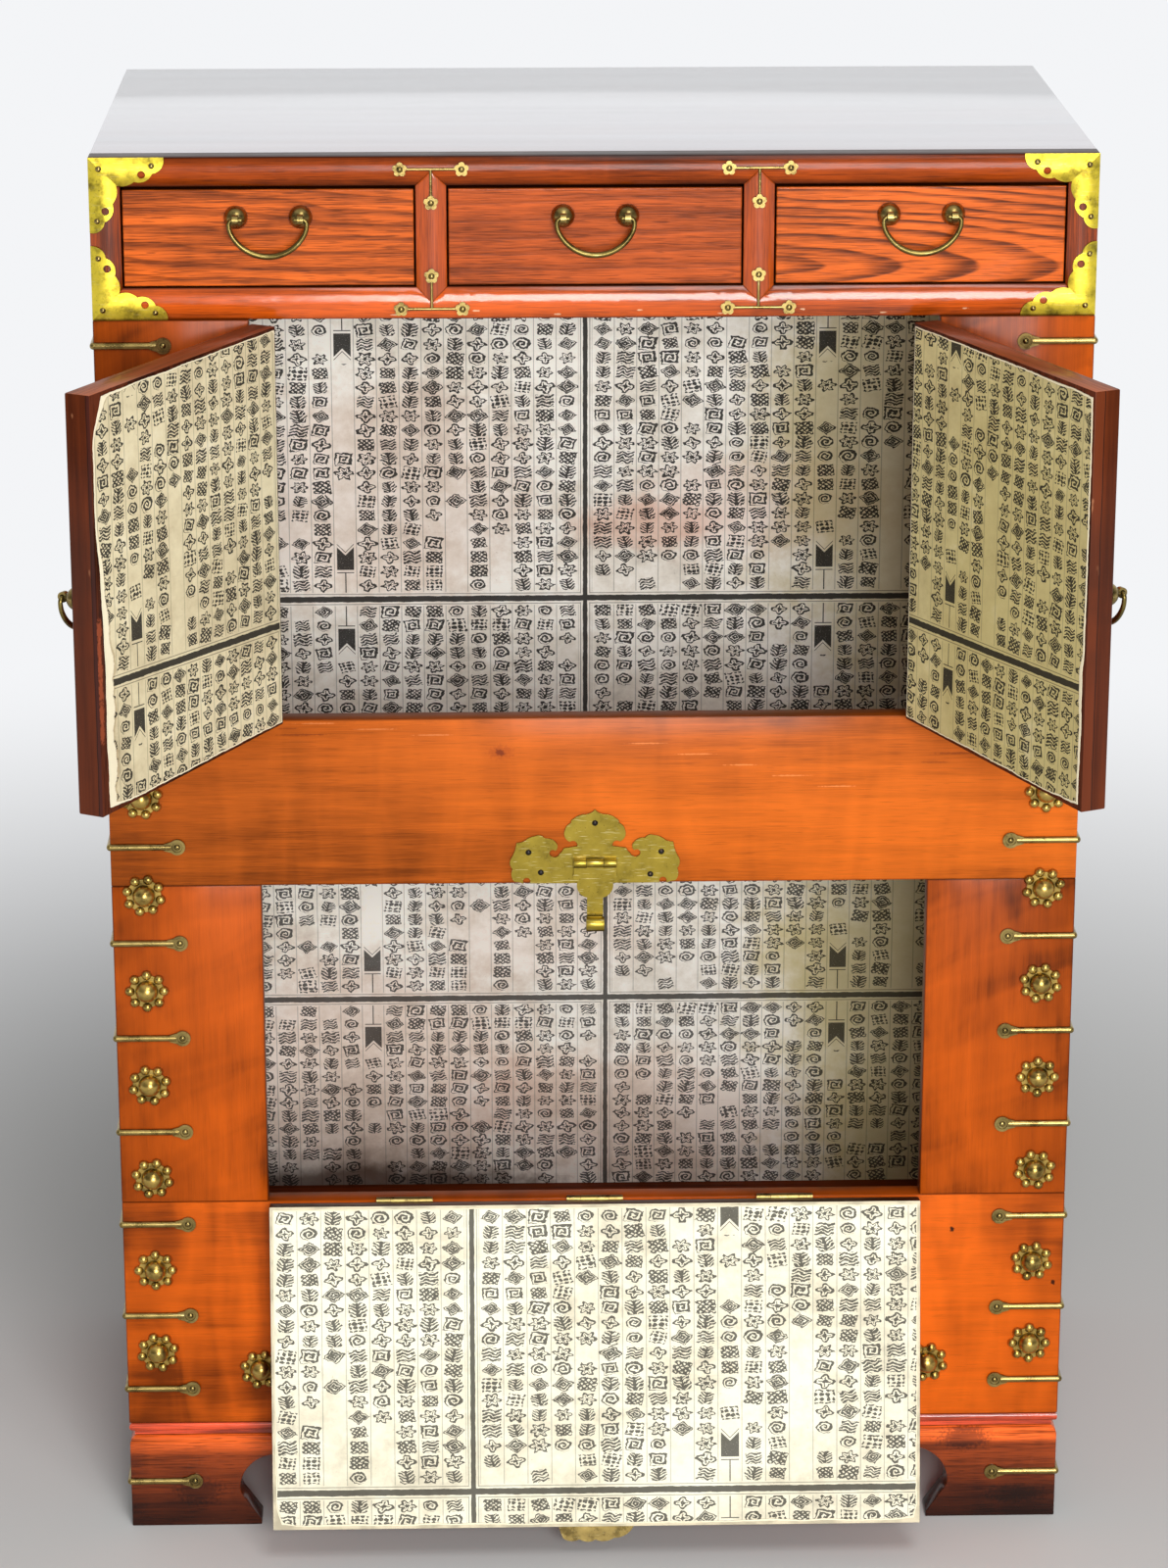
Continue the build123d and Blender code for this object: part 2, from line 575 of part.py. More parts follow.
# ---- Doors ----
def doors():
    """Each door is laid out closed on the right, mirrored for the left, then turned open about its hinges."""
    free_x = DOOR_MEETING_GAP / 2
    hinge_x = HALF_OPENING - DOOR_GAP
    board = block((free_x, hinge_x), (FRONT, FRONT + DOOR_T), (DOOR_Z, DOOR_Z + DOOR_H))
    board = fillet(board.edges().group_by(Axis.Y)[0], EDGE_ROUND)
    paper = block(
        (free_x + PAPER_MARGIN, hinge_x - PAPER_MARGIN),
        (FRONT + DOOR_T, FRONT + DOOR_T + PAPER_T),
        (DOOR_Z + PAPER_MARGIN, DOOR_Z + DOOR_H - PAPER_MARGIN),
    )
    place = Pos(free_x + DOOR_PULL_INSET, FRONT, DOOR_Z + DOOR_H / 2 + DOOR_PULL_RISE)
    closed = {
        "door": [board],
        "door_lining": [paper],
        "door_hinge_leaves": [hinge * hinge_leaf(False) for hinge in door_hinge_places()],
        "door_pull_posts": [place * post for post in pull_posts()],
        "door_bail": [place * bail()],
    }
    for node, pieces in closed.items():
        left = [mirror(piece, Plane.YZ) for piece in pieces]
        save("right_" + node, *[turned_z(piece, HALF_OPENING, HINGE_Y, RIGHT_DOOR_ANGLE) for piece in pieces])
        save("left_" + node, *[turned_z(piece, -HALF_OPENING, HINGE_Y, -LEFT_DOOR_ANGLE) for piece in left])


# ---- Drop door ----
def lock_plate():
    """The plate on the closed drop door's upper edge: a scalloped tab before the hasp plate, and two staples."""
    half, depth = LOCK_PLATE_W / 2, LOCK_PLATE_H
    side_z, lobe_x, lobe_z, bow = LID_TOP - 0.6 * depth, 0.45 * half, LID_TOP - 0.8 * depth, 0.1 * depth
    body = [
        Polyline((-half, side_z), (-half, LID_TOP), (half, LID_TOP), (half, side_z)),
        bowed((lobe_x, lobe_z), (half, side_z), bow),
        bowed((0, LID_TOP - depth), (lobe_x, lobe_z), bow),
        bowed((-lobe_x, lobe_z), (0, LID_TOP - depth), bow),
        bowed((-half, side_z), (-lobe_x, lobe_z), bow),
    ]
    plate = front_prism(make_face(body), FRONT - PLATE_T, FRONT)
    tips = [(-1, 0), (-0.844, 0.927), (-0.432, 0.97), (-0.032, 1), (0.444, 0.927), (0.911, 0.467), (1, 0)]
    bows = (0.036, 0.121, 0.121, 0.121, 0.133, 0.036)
    points = [(x * half, LID_TOP - PLATE_T + rise * LOCK_TAB_H) for x, rise in tips]
    tab = [bowed(b, a, share * LOCK_TAB_H) for a, b, share in zip(points[:-1], points[1:], bows)]
    tab_y = FRONT - PLATE_T - LOCK_TAB_GAP
    plate += front_prism(make_face(tab + [Line(points[0], points[-1])]), tab_y - PLATE_T, tab_y)
    plate += block((-half, half), (tab_y - PLATE_T, FRONT), (LID_TOP - 2 * PLATE_T, LID_TOP - PLATE_T))
    ring_y = HASP_AXIS_Y + LEAF_T / 2 - HASP_ROLL_R
    ring_z = HASP_AXIS_Z - HASP_TAIL
    for x in (-STAPLE_X, STAPLE_X):
        plate += rod_x(STAPLE_R, STAPLE_W, ring_y, ring_z, x)
        shank = (x - STAPLE_W / 2, x + STAPLE_W / 2)
        plate += block(shank, (ring_y, FRONT - PLATE_T), (ring_z - STAPLE_R / 2, ring_z + STAPLE_R / 2))
    return plate - rod_x(STAPLE_BORE_R, LOCK_PLATE_W, ring_y, ring_z)


def drop_door():
    """Laid out closed, then turned down and open about the hinges at its lower edge."""
    board = block((-LID_HALF_W, LID_HALF_W), (FRONT, FRONT + LID_T), (LID_Z, LID_TOP))
    inner = LID_HALF_W - PAPER_MARGIN
    paper = block(
        (-inner, inner),
        (FRONT + LID_T, FRONT + LID_T + PAPER_T),
        (LID_Z + PAPER_MARGIN, LID_TOP - PAPER_MARGIN),
    )
    closed = {
        "drop_door": [fillet(board.edges().group_by(Axis.Y)[0], EDGE_ROUND)],
        "drop_door_lining": [paper],
        "drop_door_hinge_leaves": [place * hinge_leaf(False) for place in lid_hinge_places()],
        "lock_plate": [lock_plate()],
    }
    for node, pieces in closed.items():
        save(node, *[turned_x(piece, HINGE_Y, LID_AXIS_Z, LID_ANGLE) for piece in pieces])


# ---- Brass trim ----
def nail(x, z, y=FRONT):
    return dome(x, y, z, NAIL_R, NAIL_H)


def corner_plate_shape(z_outer, up):
    """The outline of a right corner plate, seen from the front: three scallops along each arm."""
    arm = CORNER_PLATE_ARM
    joints = [(arm, 0), (0.848 * arm, 0.205 * arm), (0.607 * arm, 0.314 * arm), (0.366 * arm, 0.366 * arm)]
    bows = (0.055 * arm, 0.054 * arm, 0.034 * arm)
    across = [(HALF_W - a, z_outer - up * b) for a, b in joints]
    down = [(HALF_W - b, z_outer - up * a) for a, b in reversed(joints)]
    edges = [bowed(a, b, up * bow) for a, b, bow in zip(across[:-1], across[1:], bows)]
    edges += [bowed(a, b, up * bow) for a, b, bow in zip(down[:-1], down[1:], reversed(bows))]
    return make_face(edges + [Polyline(down[-1], (HALF_W, z_outer), across[0])])


def corner_plate(z_outer, up, rail_h):
    """The right plate on the convex frame's upper (up = 1) or lower (up = -1) corner, and its nails."""
    rail_z = z_outer - up * rail_h / 2
    shape = frame_prism(corner_plate_shape(z_outer, up))
    rail_cut = frame_prism(rail_shape(z_outer, z_outer - up * rail_h))
    along_rail = (rail(rail_z, rail_h, PLATE_T) & rail_cut & shape) - rail(rail_z, rail_h)
    along_stile = (end_stile(PLATE_T) & frame_prism(stile_shape()) & shape) - end_stile()
    plate = along_rail + along_stile
    far, near = CORNER_PLATE_HOLE_SHARES[0] * CORNER_PLATE_ARM, CORNER_PLATE_HOLE_SHARES[1] * CORNER_PLATE_ARM
    for a, b in ((far, near), (near, far)):
        hole = Rot(90, 0, 0) * Cylinder(CORNER_PLATE_HOLE_R, RAIL_D)
        plate -= Pos(HALF_W - a, FRONT, z_outer - up * b) * hole
    nails = []
    far, near = CORNER_PLATE_NAIL_SHARES[0] * CORNER_PLATE_ARM, CORNER_PLATE_NAIL_SHARES[1] * CORNER_PLATE_ARM
    corner = CORNER_PLATE_NAIL_SHARES[2] * CORNER_PLATE_ARM
    for a, b in ((far, near), (corner, corner), (near, far)):
        width, offset = (rail_h, rail_h / 2 - b) if a >= b else (END_STILE_W, END_STILE_W / 2 - a)
        seat = FRONT - PLATE_T / 2 + bar_setback(width, offset)
        nails.append(dome(HALF_W - a, seat, z_outer - up * b, NAIL_R, NAIL_H + PLATE_T / 2) - plate)
    return plate, nails


def corner_plates():
    upper, upper_nails = corner_plate(CHEST_H, 1, TOP_RAIL_H)
    lower, lower_nails = corner_plate(DRAWER_RAIL_Z, -1, DRAWER_RAIL_H)
    save("corner_plates", *both_sides(upper), *both_sides(lower))
    return [solid for head in upper_nails + lower_nails for solid in both_sides(head)]


def brace_knob(x, z):
    """A five-lobed knob, flat on the crown of the frame."""
    lobe_r = BRACE_KNOB_R * 0.42
    ring_r = BRACE_KNOB_R - lobe_r
    outline = Circle(ring_r)
    for turn in range(5):
        angle = pi / 2 + turn * 2 * pi / 5
        outline += Pos(ring_r * cos(angle), ring_r * sin(angle)) * Circle(lobe_r)
    return Pos(x, 0, z) * front_prism(outline, FRONT - PLATE_T, FRONT)


def tee_brace(bar_z, up):
    """The right-hand brace: its bar lies on a rail, its stem along the muntin, down from the top rail."""
    knob_z = bar_z - up * BRACE_STEM
    brace = rod_x(BRACE_BAR_R, BRACE_SPAN, FRONT, bar_z, MUNTIN_X)
    brace += Pos(MUNTIN_X, FRONT, (bar_z + knob_z) / 2) * Cylinder(BRACE_BAR_R, BRACE_STEM)
    room = 2 * BRACE_SPAN
    brace &= block((MUNTIN_X - room, MUNTIN_X + room), (FRONT - room, FRONT), (bar_z - room, bar_z + room))
    half = BRACE_SPAN / 2
    places = [(MUNTIN_X - half, bar_z), (MUNTIN_X + half, bar_z), (MUNTIN_X, knob_z)]
    for x, z in places:
        brace += brace_knob(x, z)
    return brace, [nail(x, z, FRONT - PLATE_T) for x, z in places]


def tee_braces():
    upper, upper_nails = tee_brace(CHEST_H - TOP_RAIL_H / 2 + TOP_BRACE_OFFSET, 1)
    lower, lower_nails = tee_brace(DECK_Z - DRAWER_RAIL_H / 2 - LOW_BRACE_OFFSET, -1)
    save("tee_braces", *both_sides(upper), *both_sides(lower))
    return [solid for head in upper_nails + lower_nails for solid in both_sides(head)]


def strap_eye_shape():
    """A drop-shaped eye at the origin, its point running into the rod along +X."""
    disc = Circle(STRAP_EYE_R)
    reach = STRAP_TAPER
    taper = polygon([(0, -STRAP_EYE_R * 0.9), (0, STRAP_EYE_R * 0.9), (reach, STRAP_R), (reach, -STRAP_R)])
    return disc + taper


def strap():
    """A half-round strap around the right front corner at z = 0, with an eye at the end of each arm."""
    eye_x = HALF_W - STRAP_ARM + STRAP_EYE_R
    rod_l = STRAP_ARM - STRAP_EYE_R - STRAP_TAPER / 2
    piece = rod_x(STRAP_R, rod_l, FRONT, 0, HALF_W - rod_l / 2)
    piece += Pos(HALF_W, FRONT + rod_l / 2, 0) * Rot(90, 0, 0) * Cylinder(STRAP_R, rod_l)
    piece += Pos(HALF_W, FRONT, 0) * Sphere(STRAP_R)
    eye = Pos(eye_x, 0, 0) * front_prism(strap_eye_shape(), FRONT - STRAP_EYE_T, FRONT)
    eye -= Pos(eye_x, FRONT - STRAP_EYE_T, 0) * Rot(90, 0, 0) * Cylinder(STRAP_EYE_R * 0.68, STRAP_EYE_T)
    swap = Plane(origin=(HALF_W, FRONT, 0), x_dir=(0, 0, 1), z_dir=(1, 1, 0))
    piece += eye + mirror(eye, swap)
    room = 2 * STRAP_ARM
    return piece - block((HALF_W - room, HALF_W), (FRONT, FRONT + room), (-room, room))


def strap_nails():
    eye_x = HALF_W - STRAP_ARM + STRAP_EYE_R
    head = nail(eye_x, 0, FRONT - STRAP_EYE_T / 2)
    swap = Plane(origin=(HALF_W, FRONT, 0), x_dir=(0, 0, 1), z_dir=(1, 1, 0))
    return [head, mirror(head, swap)]


def strap_levels():
    """Heights of the straps on the posts, from the top down: evenly spaced, and one more near the base."""
    top, low = DRAWER_RAIL_Z - STRAP_TOP_DROP, BOX_Z + STRAP_LOW_RISE
    steps = round((top - low) / STRAP_PITCH)
    return [top - n * (top - low) / steps for n in range(steps + 1)] + [BOX_Z + STRAP_FOOT_RISE]


def corner_straps():
    levels = strap_levels() + [BASE_H / 2]
    one, heads = strap(), strap_nails()
    save("corner_straps", *[solid for z in levels for solid in both_sides(Pos(0, 0, z) * one)])
    return [solid for z in levels for head in heads for solid in both_sides(Pos(0, 0, z) * head)]


def flower_stud():
    """A dome in a ring of eight smaller ones, on a thin disc."""
    stud = Pos(0, -STUD_DISC_T / 2, 0) * Rot(90, 0, 0) * Cylinder(STUD_PETAL_RING_R, STUD_DISC_T)
    stud += dome(0, -STUD_DISC_T, 0, STUD_DOME_R, STUD_DOME_R)
    for turn in range(STUD_PETALS):
        angle = turn * 2 * pi / STUD_PETALS
        x, z = STUD_PETAL_RING_R * cos(angle), STUD_PETAL_RING_R * sin(angle)
        stud += dome(x, 0, z, STUD_PETAL_R, STUD_PETAL_R)
    return stud


def flower_studs():
    """One stud between each two straps on both posts, and a row on the bottom board."""
    one = flower_stud()
    levels = strap_levels()
    stud_x = HALF_W - STUD_INSET
    places = [(x, (a + b) / 2) for a, b in zip(levels[:-1], levels[1:]) for x in (-stud_x, stud_x)]
    row_half = HALF_OPENING + STUD_ROW_OVERHANG
    step = 2 * row_half / (STUD_ROW_COUNT - 1)
    places += [(n * step - row_half, BOX_Z + STUD_ROW_RISE) for n in range(STUD_ROW_COUNT)]
    petal_turn = 180 / STUD_PETALS
    save(
        "flower_studs",
        *[Pos(x, FRONT, z) * Rot(0, petal_turn * (n % 3) / 1.5, 0) * one for n, (x, z) in enumerate(places)],
    )


# ---- Hasp ----
def hasp_plate_shape():
    """Three cloud lobes: one upright in the middle and one out to each side, with round bites between them.

    Each corner and the bow of the edge that follows it are drawn in plate heights.
    """
    drawn = [
        ((0, 1), 0.015),
        ((0.125, 0.9333), -0.015),
        ((0.275, 0.875), -0.0133),
        ((0.3083, 0.8167), -0.0167),
        ((0.3867, 0.725), -0.0367),
        ((0.3233, 0.5633), 0.0417),
        ((0.2267, 0.5033), 0),
        ((0.4033, 0.4767), 0.0067),
        ((0.4567, 0.4033), 0.0433),
        ((0.5833, 0.39), 0.0383),
        ((0.51, 0.4433), -0.0133),
        ((0.4867, 0.525), -0.03),
        ((0.6467, 0.61), -0.0233),
        ((0.7667, 0.6433), -0.0133),
        ((0.9083, 0.58), 0.0067),
        ((1.0133, 0.5533), 0.0133),
        ((1.0883, 0.3333), -0.0217),
        ((1.065, 0.1967), -0.0267),
        ((1.0433, 0.0267), 0.0067),
        ((0.9367, 0), 0),
    ]
    points = [((x * HASP_PLATE_H, z * HASP_PLATE_H), bow * HASP_PLATE_H) for (x, z), bow in drawn]
    edges = []
    for (start, bow), (end, _) in zip(points[:-1], points[1:]):
        edges.append(bowed(start, end, bow) if bow else Line(start, end))
    edges += [Line(points[-1][0], (0, 0)), Line((0, 0), points[0][0])]
    bite_x, bite_z, bite_r = (share * HASP_PLATE_H for share in HASP_BITE_SHARES)
    half = make_face(edges) - Pos(bite_x, bite_z) * Circle(bite_r)
    return half + mirror(half, Plane.YZ)


def hasp_plate():
    plate = Pos(0, 0, MID_BOARD_Z) * front_prism(hasp_plate_shape(), FRONT - PLATE_T, FRONT)
    end_l = (HASP_BARREL_L - HASP_MID_L) / 2 - KNUCKLE_GAP
    for side in (-1, 1):
        x = side * (HASP_BARREL_L - end_l) / 2
        plate += rod_x(HASP_BARREL_R, end_l, HASP_AXIS_Y, HASP_AXIS_Z, x)
        root = (x - end_l / 2, x + end_l / 2)
        plate += block(root, (HASP_AXIS_Y, FRONT - PLATE_T), (HASP_AXIS_Z, HASP_AXIS_Z + HASP_BARREL_R))
    plate -= rod_x(PIN_R + PIN_FIT, 2 * HASP_BARREL_L, HASP_AXIS_Y, HASP_AXIS_Z)
    places = [(x * HASP_PLATE_H, MID_BOARD_Z + z * HASP_PLATE_H) for x, z in HASP_NAIL_SHARES]
    return plate, [nail(x, z, FRONT - PLATE_T) for x, z in places]


def hasp_leaf():
    """The hanging leaf: straight skirt, two lobes, a neck, and an end rolled into a tube for a lock bar."""
    top = HASP_AXIS_Z - HASP_BARREL_R - LEAF_CLEAR
    skirt_z = HASP_AXIS_Z - HASP_SKIRT_H
    neck_z = skirt_z - HASP_LOBE_H
    roll_z = HASP_AXIS_Z - HASP_TAIL
    wide, lobe, neck = HASP_LEAF_W / 2, HASP_LOBE_W / 2, HASP_NECK_W / 2
    right = [
        Line((0, top), (wide, top)),
        Line((wide, top), (wide, skirt_z + HASP_CORNER_H)),
        bowed((lobe, skirt_z), (wide, skirt_z + HASP_CORNER_H), HASP_CORNER_BOW),
        bowed((neck, neck_z), (lobe, skirt_z), HASP_LOBE_BOW),
        Line((neck, neck_z), (neck, roll_z)),
        Line((neck, roll_z), (0, roll_z)),
        Line((0, roll_z), (0, top)),
    ]
    half = make_face(right)
    leaf_y = HASP_AXIS_Y - LEAF_T / 2
    leaf = front_prism(half + mirror(half, Plane.YZ), leaf_y, leaf_y + LEAF_T)
    hub = (-HASP_MID_L / 2, HASP_MID_L / 2)
    leaf += block(hub, (leaf_y, leaf_y + LEAF_T), (top, HASP_AXIS_Z))
    leaf += rod_x(HASP_BARREL_R, HASP_MID_L, HASP_AXIS_Y, HASP_AXIS_Z)
    roll_y = HASP_AXIS_Y + LEAF_T / 2 - HASP_ROLL_R
    leaf += rod_x(HASP_ROLL_R, HASP_ROLL_L, roll_y, roll_z)
    leaf -= rod_x(HASP_ROLL_BORE_R, 2 * HASP_ROLL_L, roll_y, roll_z)
    return leaf - rod_x(PIN_R + PIN_FIT, HASP_BARREL_L, HASP_AXIS_Y, HASP_AXIS_Z)


def main():
    os.makedirs("parts", exist_ok=True)
    carcass()
    save("upper_lining", *wall_paper(RAIL_BACK, DIVIDER_TOP, DECK_BOTTOM))
    save("lower_lining", *wall_paper(BOARD_BACK, LOWER_FLOOR_TOP, MID_BOARD_Z))
    drawer_frame()
    save("drawer_partitions", *drawer_partitions())
    base()
    drawer("drawer_left", -END_OPENING_X1, -END_OPENING_X0)
    drawer("drawer_middle", -MIDDLE_OPENING_W / 2, MIDDLE_OPENING_W / 2)
    drawer("drawer_right", END_OPENING_X0, END_OPENING_X1)
    fixed_hinge_pieces()
    doors()
    drop_door()
    plate, hasp_nails = hasp_plate()
    save("hasp_plate", plate)
    save("hasp_leaf", hasp_leaf())
    save("hasp_pin", rod_x(PIN_R, HASP_BARREL_L, HASP_AXIS_Y, HASP_AXIS_Z))
    save("dome_nails", *corner_plates(), *tee_braces(), *corner_straps(), *hasp_nails)
    flower_studs()


main()
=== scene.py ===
"""Dresses the two-tier chest: lacquered boards, printed linings, brass hardware and a lit room."""

import json
from math import pi, radians
from typing import NamedTuple

import bmesh
import bpy
from bpy.props import FloatProperty, FloatVectorProperty, PointerProperty
from mathutils import Matrix, Vector, noise


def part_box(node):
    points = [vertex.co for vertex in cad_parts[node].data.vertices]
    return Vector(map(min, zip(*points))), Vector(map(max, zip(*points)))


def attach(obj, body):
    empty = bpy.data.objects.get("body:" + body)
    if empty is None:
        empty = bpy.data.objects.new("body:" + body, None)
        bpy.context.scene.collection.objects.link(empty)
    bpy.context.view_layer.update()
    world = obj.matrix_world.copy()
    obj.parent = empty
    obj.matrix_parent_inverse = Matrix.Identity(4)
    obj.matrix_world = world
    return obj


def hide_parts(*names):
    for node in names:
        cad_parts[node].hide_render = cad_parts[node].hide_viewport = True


bl_info = {
    "name": "Two-tier chest",
    "version": (1, 0, 0),
    "blender": (4, 5, 0),
    "location": "View3D > Sidebar > Chest",
    "description": "Boards, linings and hardware of a two-tier chest, built around its packed frame",
    "category": "Object",
}

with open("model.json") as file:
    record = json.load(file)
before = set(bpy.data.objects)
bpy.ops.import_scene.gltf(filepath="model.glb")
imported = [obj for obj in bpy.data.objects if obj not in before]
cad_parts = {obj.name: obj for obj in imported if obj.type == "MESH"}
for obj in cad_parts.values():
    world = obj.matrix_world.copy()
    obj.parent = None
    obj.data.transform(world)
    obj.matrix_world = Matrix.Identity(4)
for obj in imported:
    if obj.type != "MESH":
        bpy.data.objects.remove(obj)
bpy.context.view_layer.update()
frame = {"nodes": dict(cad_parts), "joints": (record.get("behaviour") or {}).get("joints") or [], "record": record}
MM = 0.001

BODY_OF = {node: body for body, nodes in frame["record"]["behaviour"]["bodies"].items() for node in nodes}
JOINTS = {joint["name"]: joint for joint in frame["joints"]}


def srgb(red, green, blue):
    """A linear colour from the 0-255 numbers of a colour picker."""
    shares = (red / 255, green / 255, blue / 255)
    return tuple(c / 12.92 if c <= 0.04045 else ((c + 0.055) / 1.055) ** 2.4 for c in shares)


# ---- Settings ----
def colour(name, description, default):
    return FloatVectorProperty(
        name=name, description=description, default=default, size=3, min=0.0, max=1.0, subtype="COLOR"
    )


def length(name, description, default):
    """A length whose default is given in millimetres."""
    return amount(name, description, default * MM, "LENGTH")


def amount(name, description, default, unit="NONE"):
    return FloatProperty(name=name, description=description, default=default, min=0.0, unit=unit)


class ChestWoodSettings(bpy.types.PropertyGroup):
    """Colours and worn edges of the boards."""

    board: colour("Mid board", "Orange lacquer of the board between the tiers", srgb(188, 90, 22))
    post: colour("Posts", "Lacquer of the posts and the boards beside the openings", srgb(176, 76, 12))
    rail: colour("Rails", "Red-brown lacquer of the drawer frame", srgb(140, 56, 8))
    drawer: colour("Drawers", "Open-grained drawer fronts", srgb(176, 80, 24))
    top: colour("Top", "Glossy top board", srgb(150, 72, 34))
    base: colour("Base", "Worn base boards", srgb(144, 60, 20))
    edge: colour("Door edges", "Dark red-brown edges of the doors", srgb(84, 34, 10))
    raw: colour("Bare wood", "Unfinished wood inside and behind", srgb(186, 138, 92))
    edge_round: length("Edge rounding", "Rounding of the boards' worn edges", 0.8)
    frame_round: length("Frame rounding", "Rounding of the drawer frame's edges", 0.5)


class ChestBrassSettings(bpy.types.PropertyGroup):
    """Colours and edges of the metal."""

    bright: colour("Polished brass", "Corner plates", srgb(238, 214, 70))
    aged: colour("Aged brass", "Straps and hinge leaves", srgb(160, 138, 82))
    stud: colour("Stud brass", "Flower studs", srgb(200, 168, 90))
    pull: colour("Pull brass", "Rods of the pulls", srgb(128, 112, 62))
    hasp: colour("Hasp", "Olive brass of the hasp", srgb(164, 142, 56))
    iron: colour("Iron", "Pins and the hasp's nails", srgb(46, 42, 40))
    edge_round: length("Edge rounding", "Rounding of the plates' edges", 0.3)


class ChestPaperSettings(bpy.types.PropertyGroup):
    """The printed lining paper."""

    tone: colour("Paper", "Aged paper", srgb(226, 214, 178))
    ink: colour("Ink", "Printing ink", srgb(28, 26, 25))
    column: length("Column pitch", "From one column of print to the next", 18.9)
    row: length("Row pitch", "From one mark in a column to the next", 12.3)
    page_width: length("Page width", "From one upright band to the next", 408.0)
    page_height: length("Page height", "From one level band to the next", 257.0)


class ChestStageSettings(bpy.types.PropertyGroup):
    """Floor, light and camera."""

    floor: colour("Floor", "Pale floor", srgb(226, 226, 224))
    surroundings: amount("Room light", "Strength of the light all round", 0.27)
    key: amount("Front lamp", "Power of the lamp beside the camera", 136.0, "POWER")
    overhead: amount("High lamp", "Power of the lamp above", 32.0, "POWER")
    focal: amount("Lens", "Focal length of the camera", 105.0, "CAMERA")


def settings(group):
    return getattr(bpy.context.scene, "chest_" + group)


# ---- Shader maths ----
class Value:
    """A shader socket that works as a number in a Python expression."""

    def __init__(self, graph, socket):
        self.graph = graph
        self.socket = socket

    def math(self, operation, *others):
        return self.graph.node("ShaderNodeMath", {"operation": operation}, [self, *others])

    def __add__(self, other):
        return self.math("ADD", other)

    def __sub__(self, other):
        return self.math("SUBTRACT", other)

    def __rsub__(self, other):
        return self.graph.node("ShaderNodeMath", {"operation": "SUBTRACT"}, [other, self])

    def __mul__(self, other):
        return self.math("MULTIPLY", other)

    def __truediv__(self, other):
        return self.math("DIVIDE", other)

    def __mod__(self, other):
        return self.math("FLOORED_MODULO", other)

    def __pow__(self, other):
        return self.math("POWER", other)

    def __abs__(self):
        return self.math("ABSOLUTE")

    def __lt__(self, other):
        return self.math("LESS_THAN", other)

    def __gt__(self, other):
        return self.math("GREATER_THAN", other)

    __radd__ = __add__
    __rmul__ = __mul__


def least(first, *others):
    for other in others:
        first = first.math("MINIMUM", other)
    return first


def most(first, *others):
    for other in others:
        first = first.math("MAXIMUM", other)
    return first


class Graph:
    """Builds the nodes of a material or of the world."""

    def __init__(self, tree):
        self.tree = tree

    def node(self, kind, set_first=None, inputs=(), output=0):
        """A node of this kind, with its settings, then the values or links of its sockets."""
        made = self.tree.nodes.new(kind)
        for key, value in (set_first or {}).items():
            if key == "stops":
                self.fill_ramp(made.color_ramp, value)
            else:
                setattr(made, key, value)
        pairs = inputs.items() if isinstance(inputs, dict) else enumerate(inputs)
        for key, value in pairs:
            if isinstance(value, Value):
                self.tree.links.new(value.socket, made.inputs[key])
            elif value is not None:
                made.inputs[key].default_value = self.fitted(made.inputs[key], value)
        return Value(self, made.outputs[output])

    @staticmethod
    def fitted(socket, value):
        """A colour gets an alpha of 1, and anything else stays as it is."""
        return (*value, 1.0) if socket.type == "RGBA" and len(value) == 3 else value

    @staticmethod
    def fill_ramp(ramp, stops):
        while len(ramp.elements) < len(stops):
            ramp.elements.new(1.0)
        for element, (position, tone) in zip(ramp.elements, stops):
            element.position = position
            element.color = (*tone, 1.0)

    def parts(self, vector):
        split = self.node("ShaderNodeSeparateXYZ", inputs=[vector])
        outputs = split.socket.node.outputs
        return [Value(self, outputs[n]) for n in range(3)]

    def joined(self, x, y, z=0.0):
        return self.node("ShaderNodeCombineXYZ", inputs=[x, y, z])

    def mapped(self, vector, scale=(1, 1, 1), shift=(0, 0, 0), turn=(0, 0, 0)):
        fields = {"Vector": vector, "Location": shift, "Rotation": turn, "Scale": scale}
        return self.node("ShaderNodeMapping", inputs=fields)

    def noise(self, vector, scale=1.0, detail=2.0, roughness=0.5, distortion=0.0):
        fields = {
            "Vector": vector, "Scale": scale, "Detail": detail,
            "Roughness": roughness, "Distortion": distortion,
        }
        return self.node("ShaderNodeTexNoise", inputs=fields)

    def cracks(self, vector, scale):
        """The distance to the nearest border between random cells."""
        fields = {"Vector": vector, "Scale": scale}
        return self.node("ShaderNodeTexVoronoi", {"feature": "DISTANCE_TO_EDGE"}, fields)

    def chance(self, vector):
        """A random number from 0 to 1 for each vector."""
        return self.node("ShaderNodeTexWhiteNoise", {"noise_dimensions": "3D"}, {"Vector": vector})

    def rise(self, value, low, high):
        """0 below low, 1 above high, smooth between."""
        fields = {"Value": value, "From Min": low, "From Max": high}
        return self.node("ShaderNodeMapRange", {"interpolation_type": "SMOOTHSTEP"}, fields)

    def spread(self, value, low, high):
        """A 0-1 value laid between low and high."""
        return value * (high - low) + low

    def ramp(self, value, stops):
        return self.node("ShaderNodeValToRGB", {"stops": stops}, [value])

    def mix(self, factor, first, second):
        return self.node("ShaderNodeMix", {"data_type": "RGBA"}, {0: factor, 6: first, 7: second}, output=2)

    def darkened(self, tone, shade):
        """A colour multiplied by a number."""
        return self.node("ShaderNodeVectorMath", {"operation": "SCALE"}, {0: tone, 3: shade})

    def ray(self, kind):
        """1 for Camera, Glossy or Transmission rays, as kind says."""
        return self.node("ShaderNodeLightPath", output=f"Is {kind} Ray")


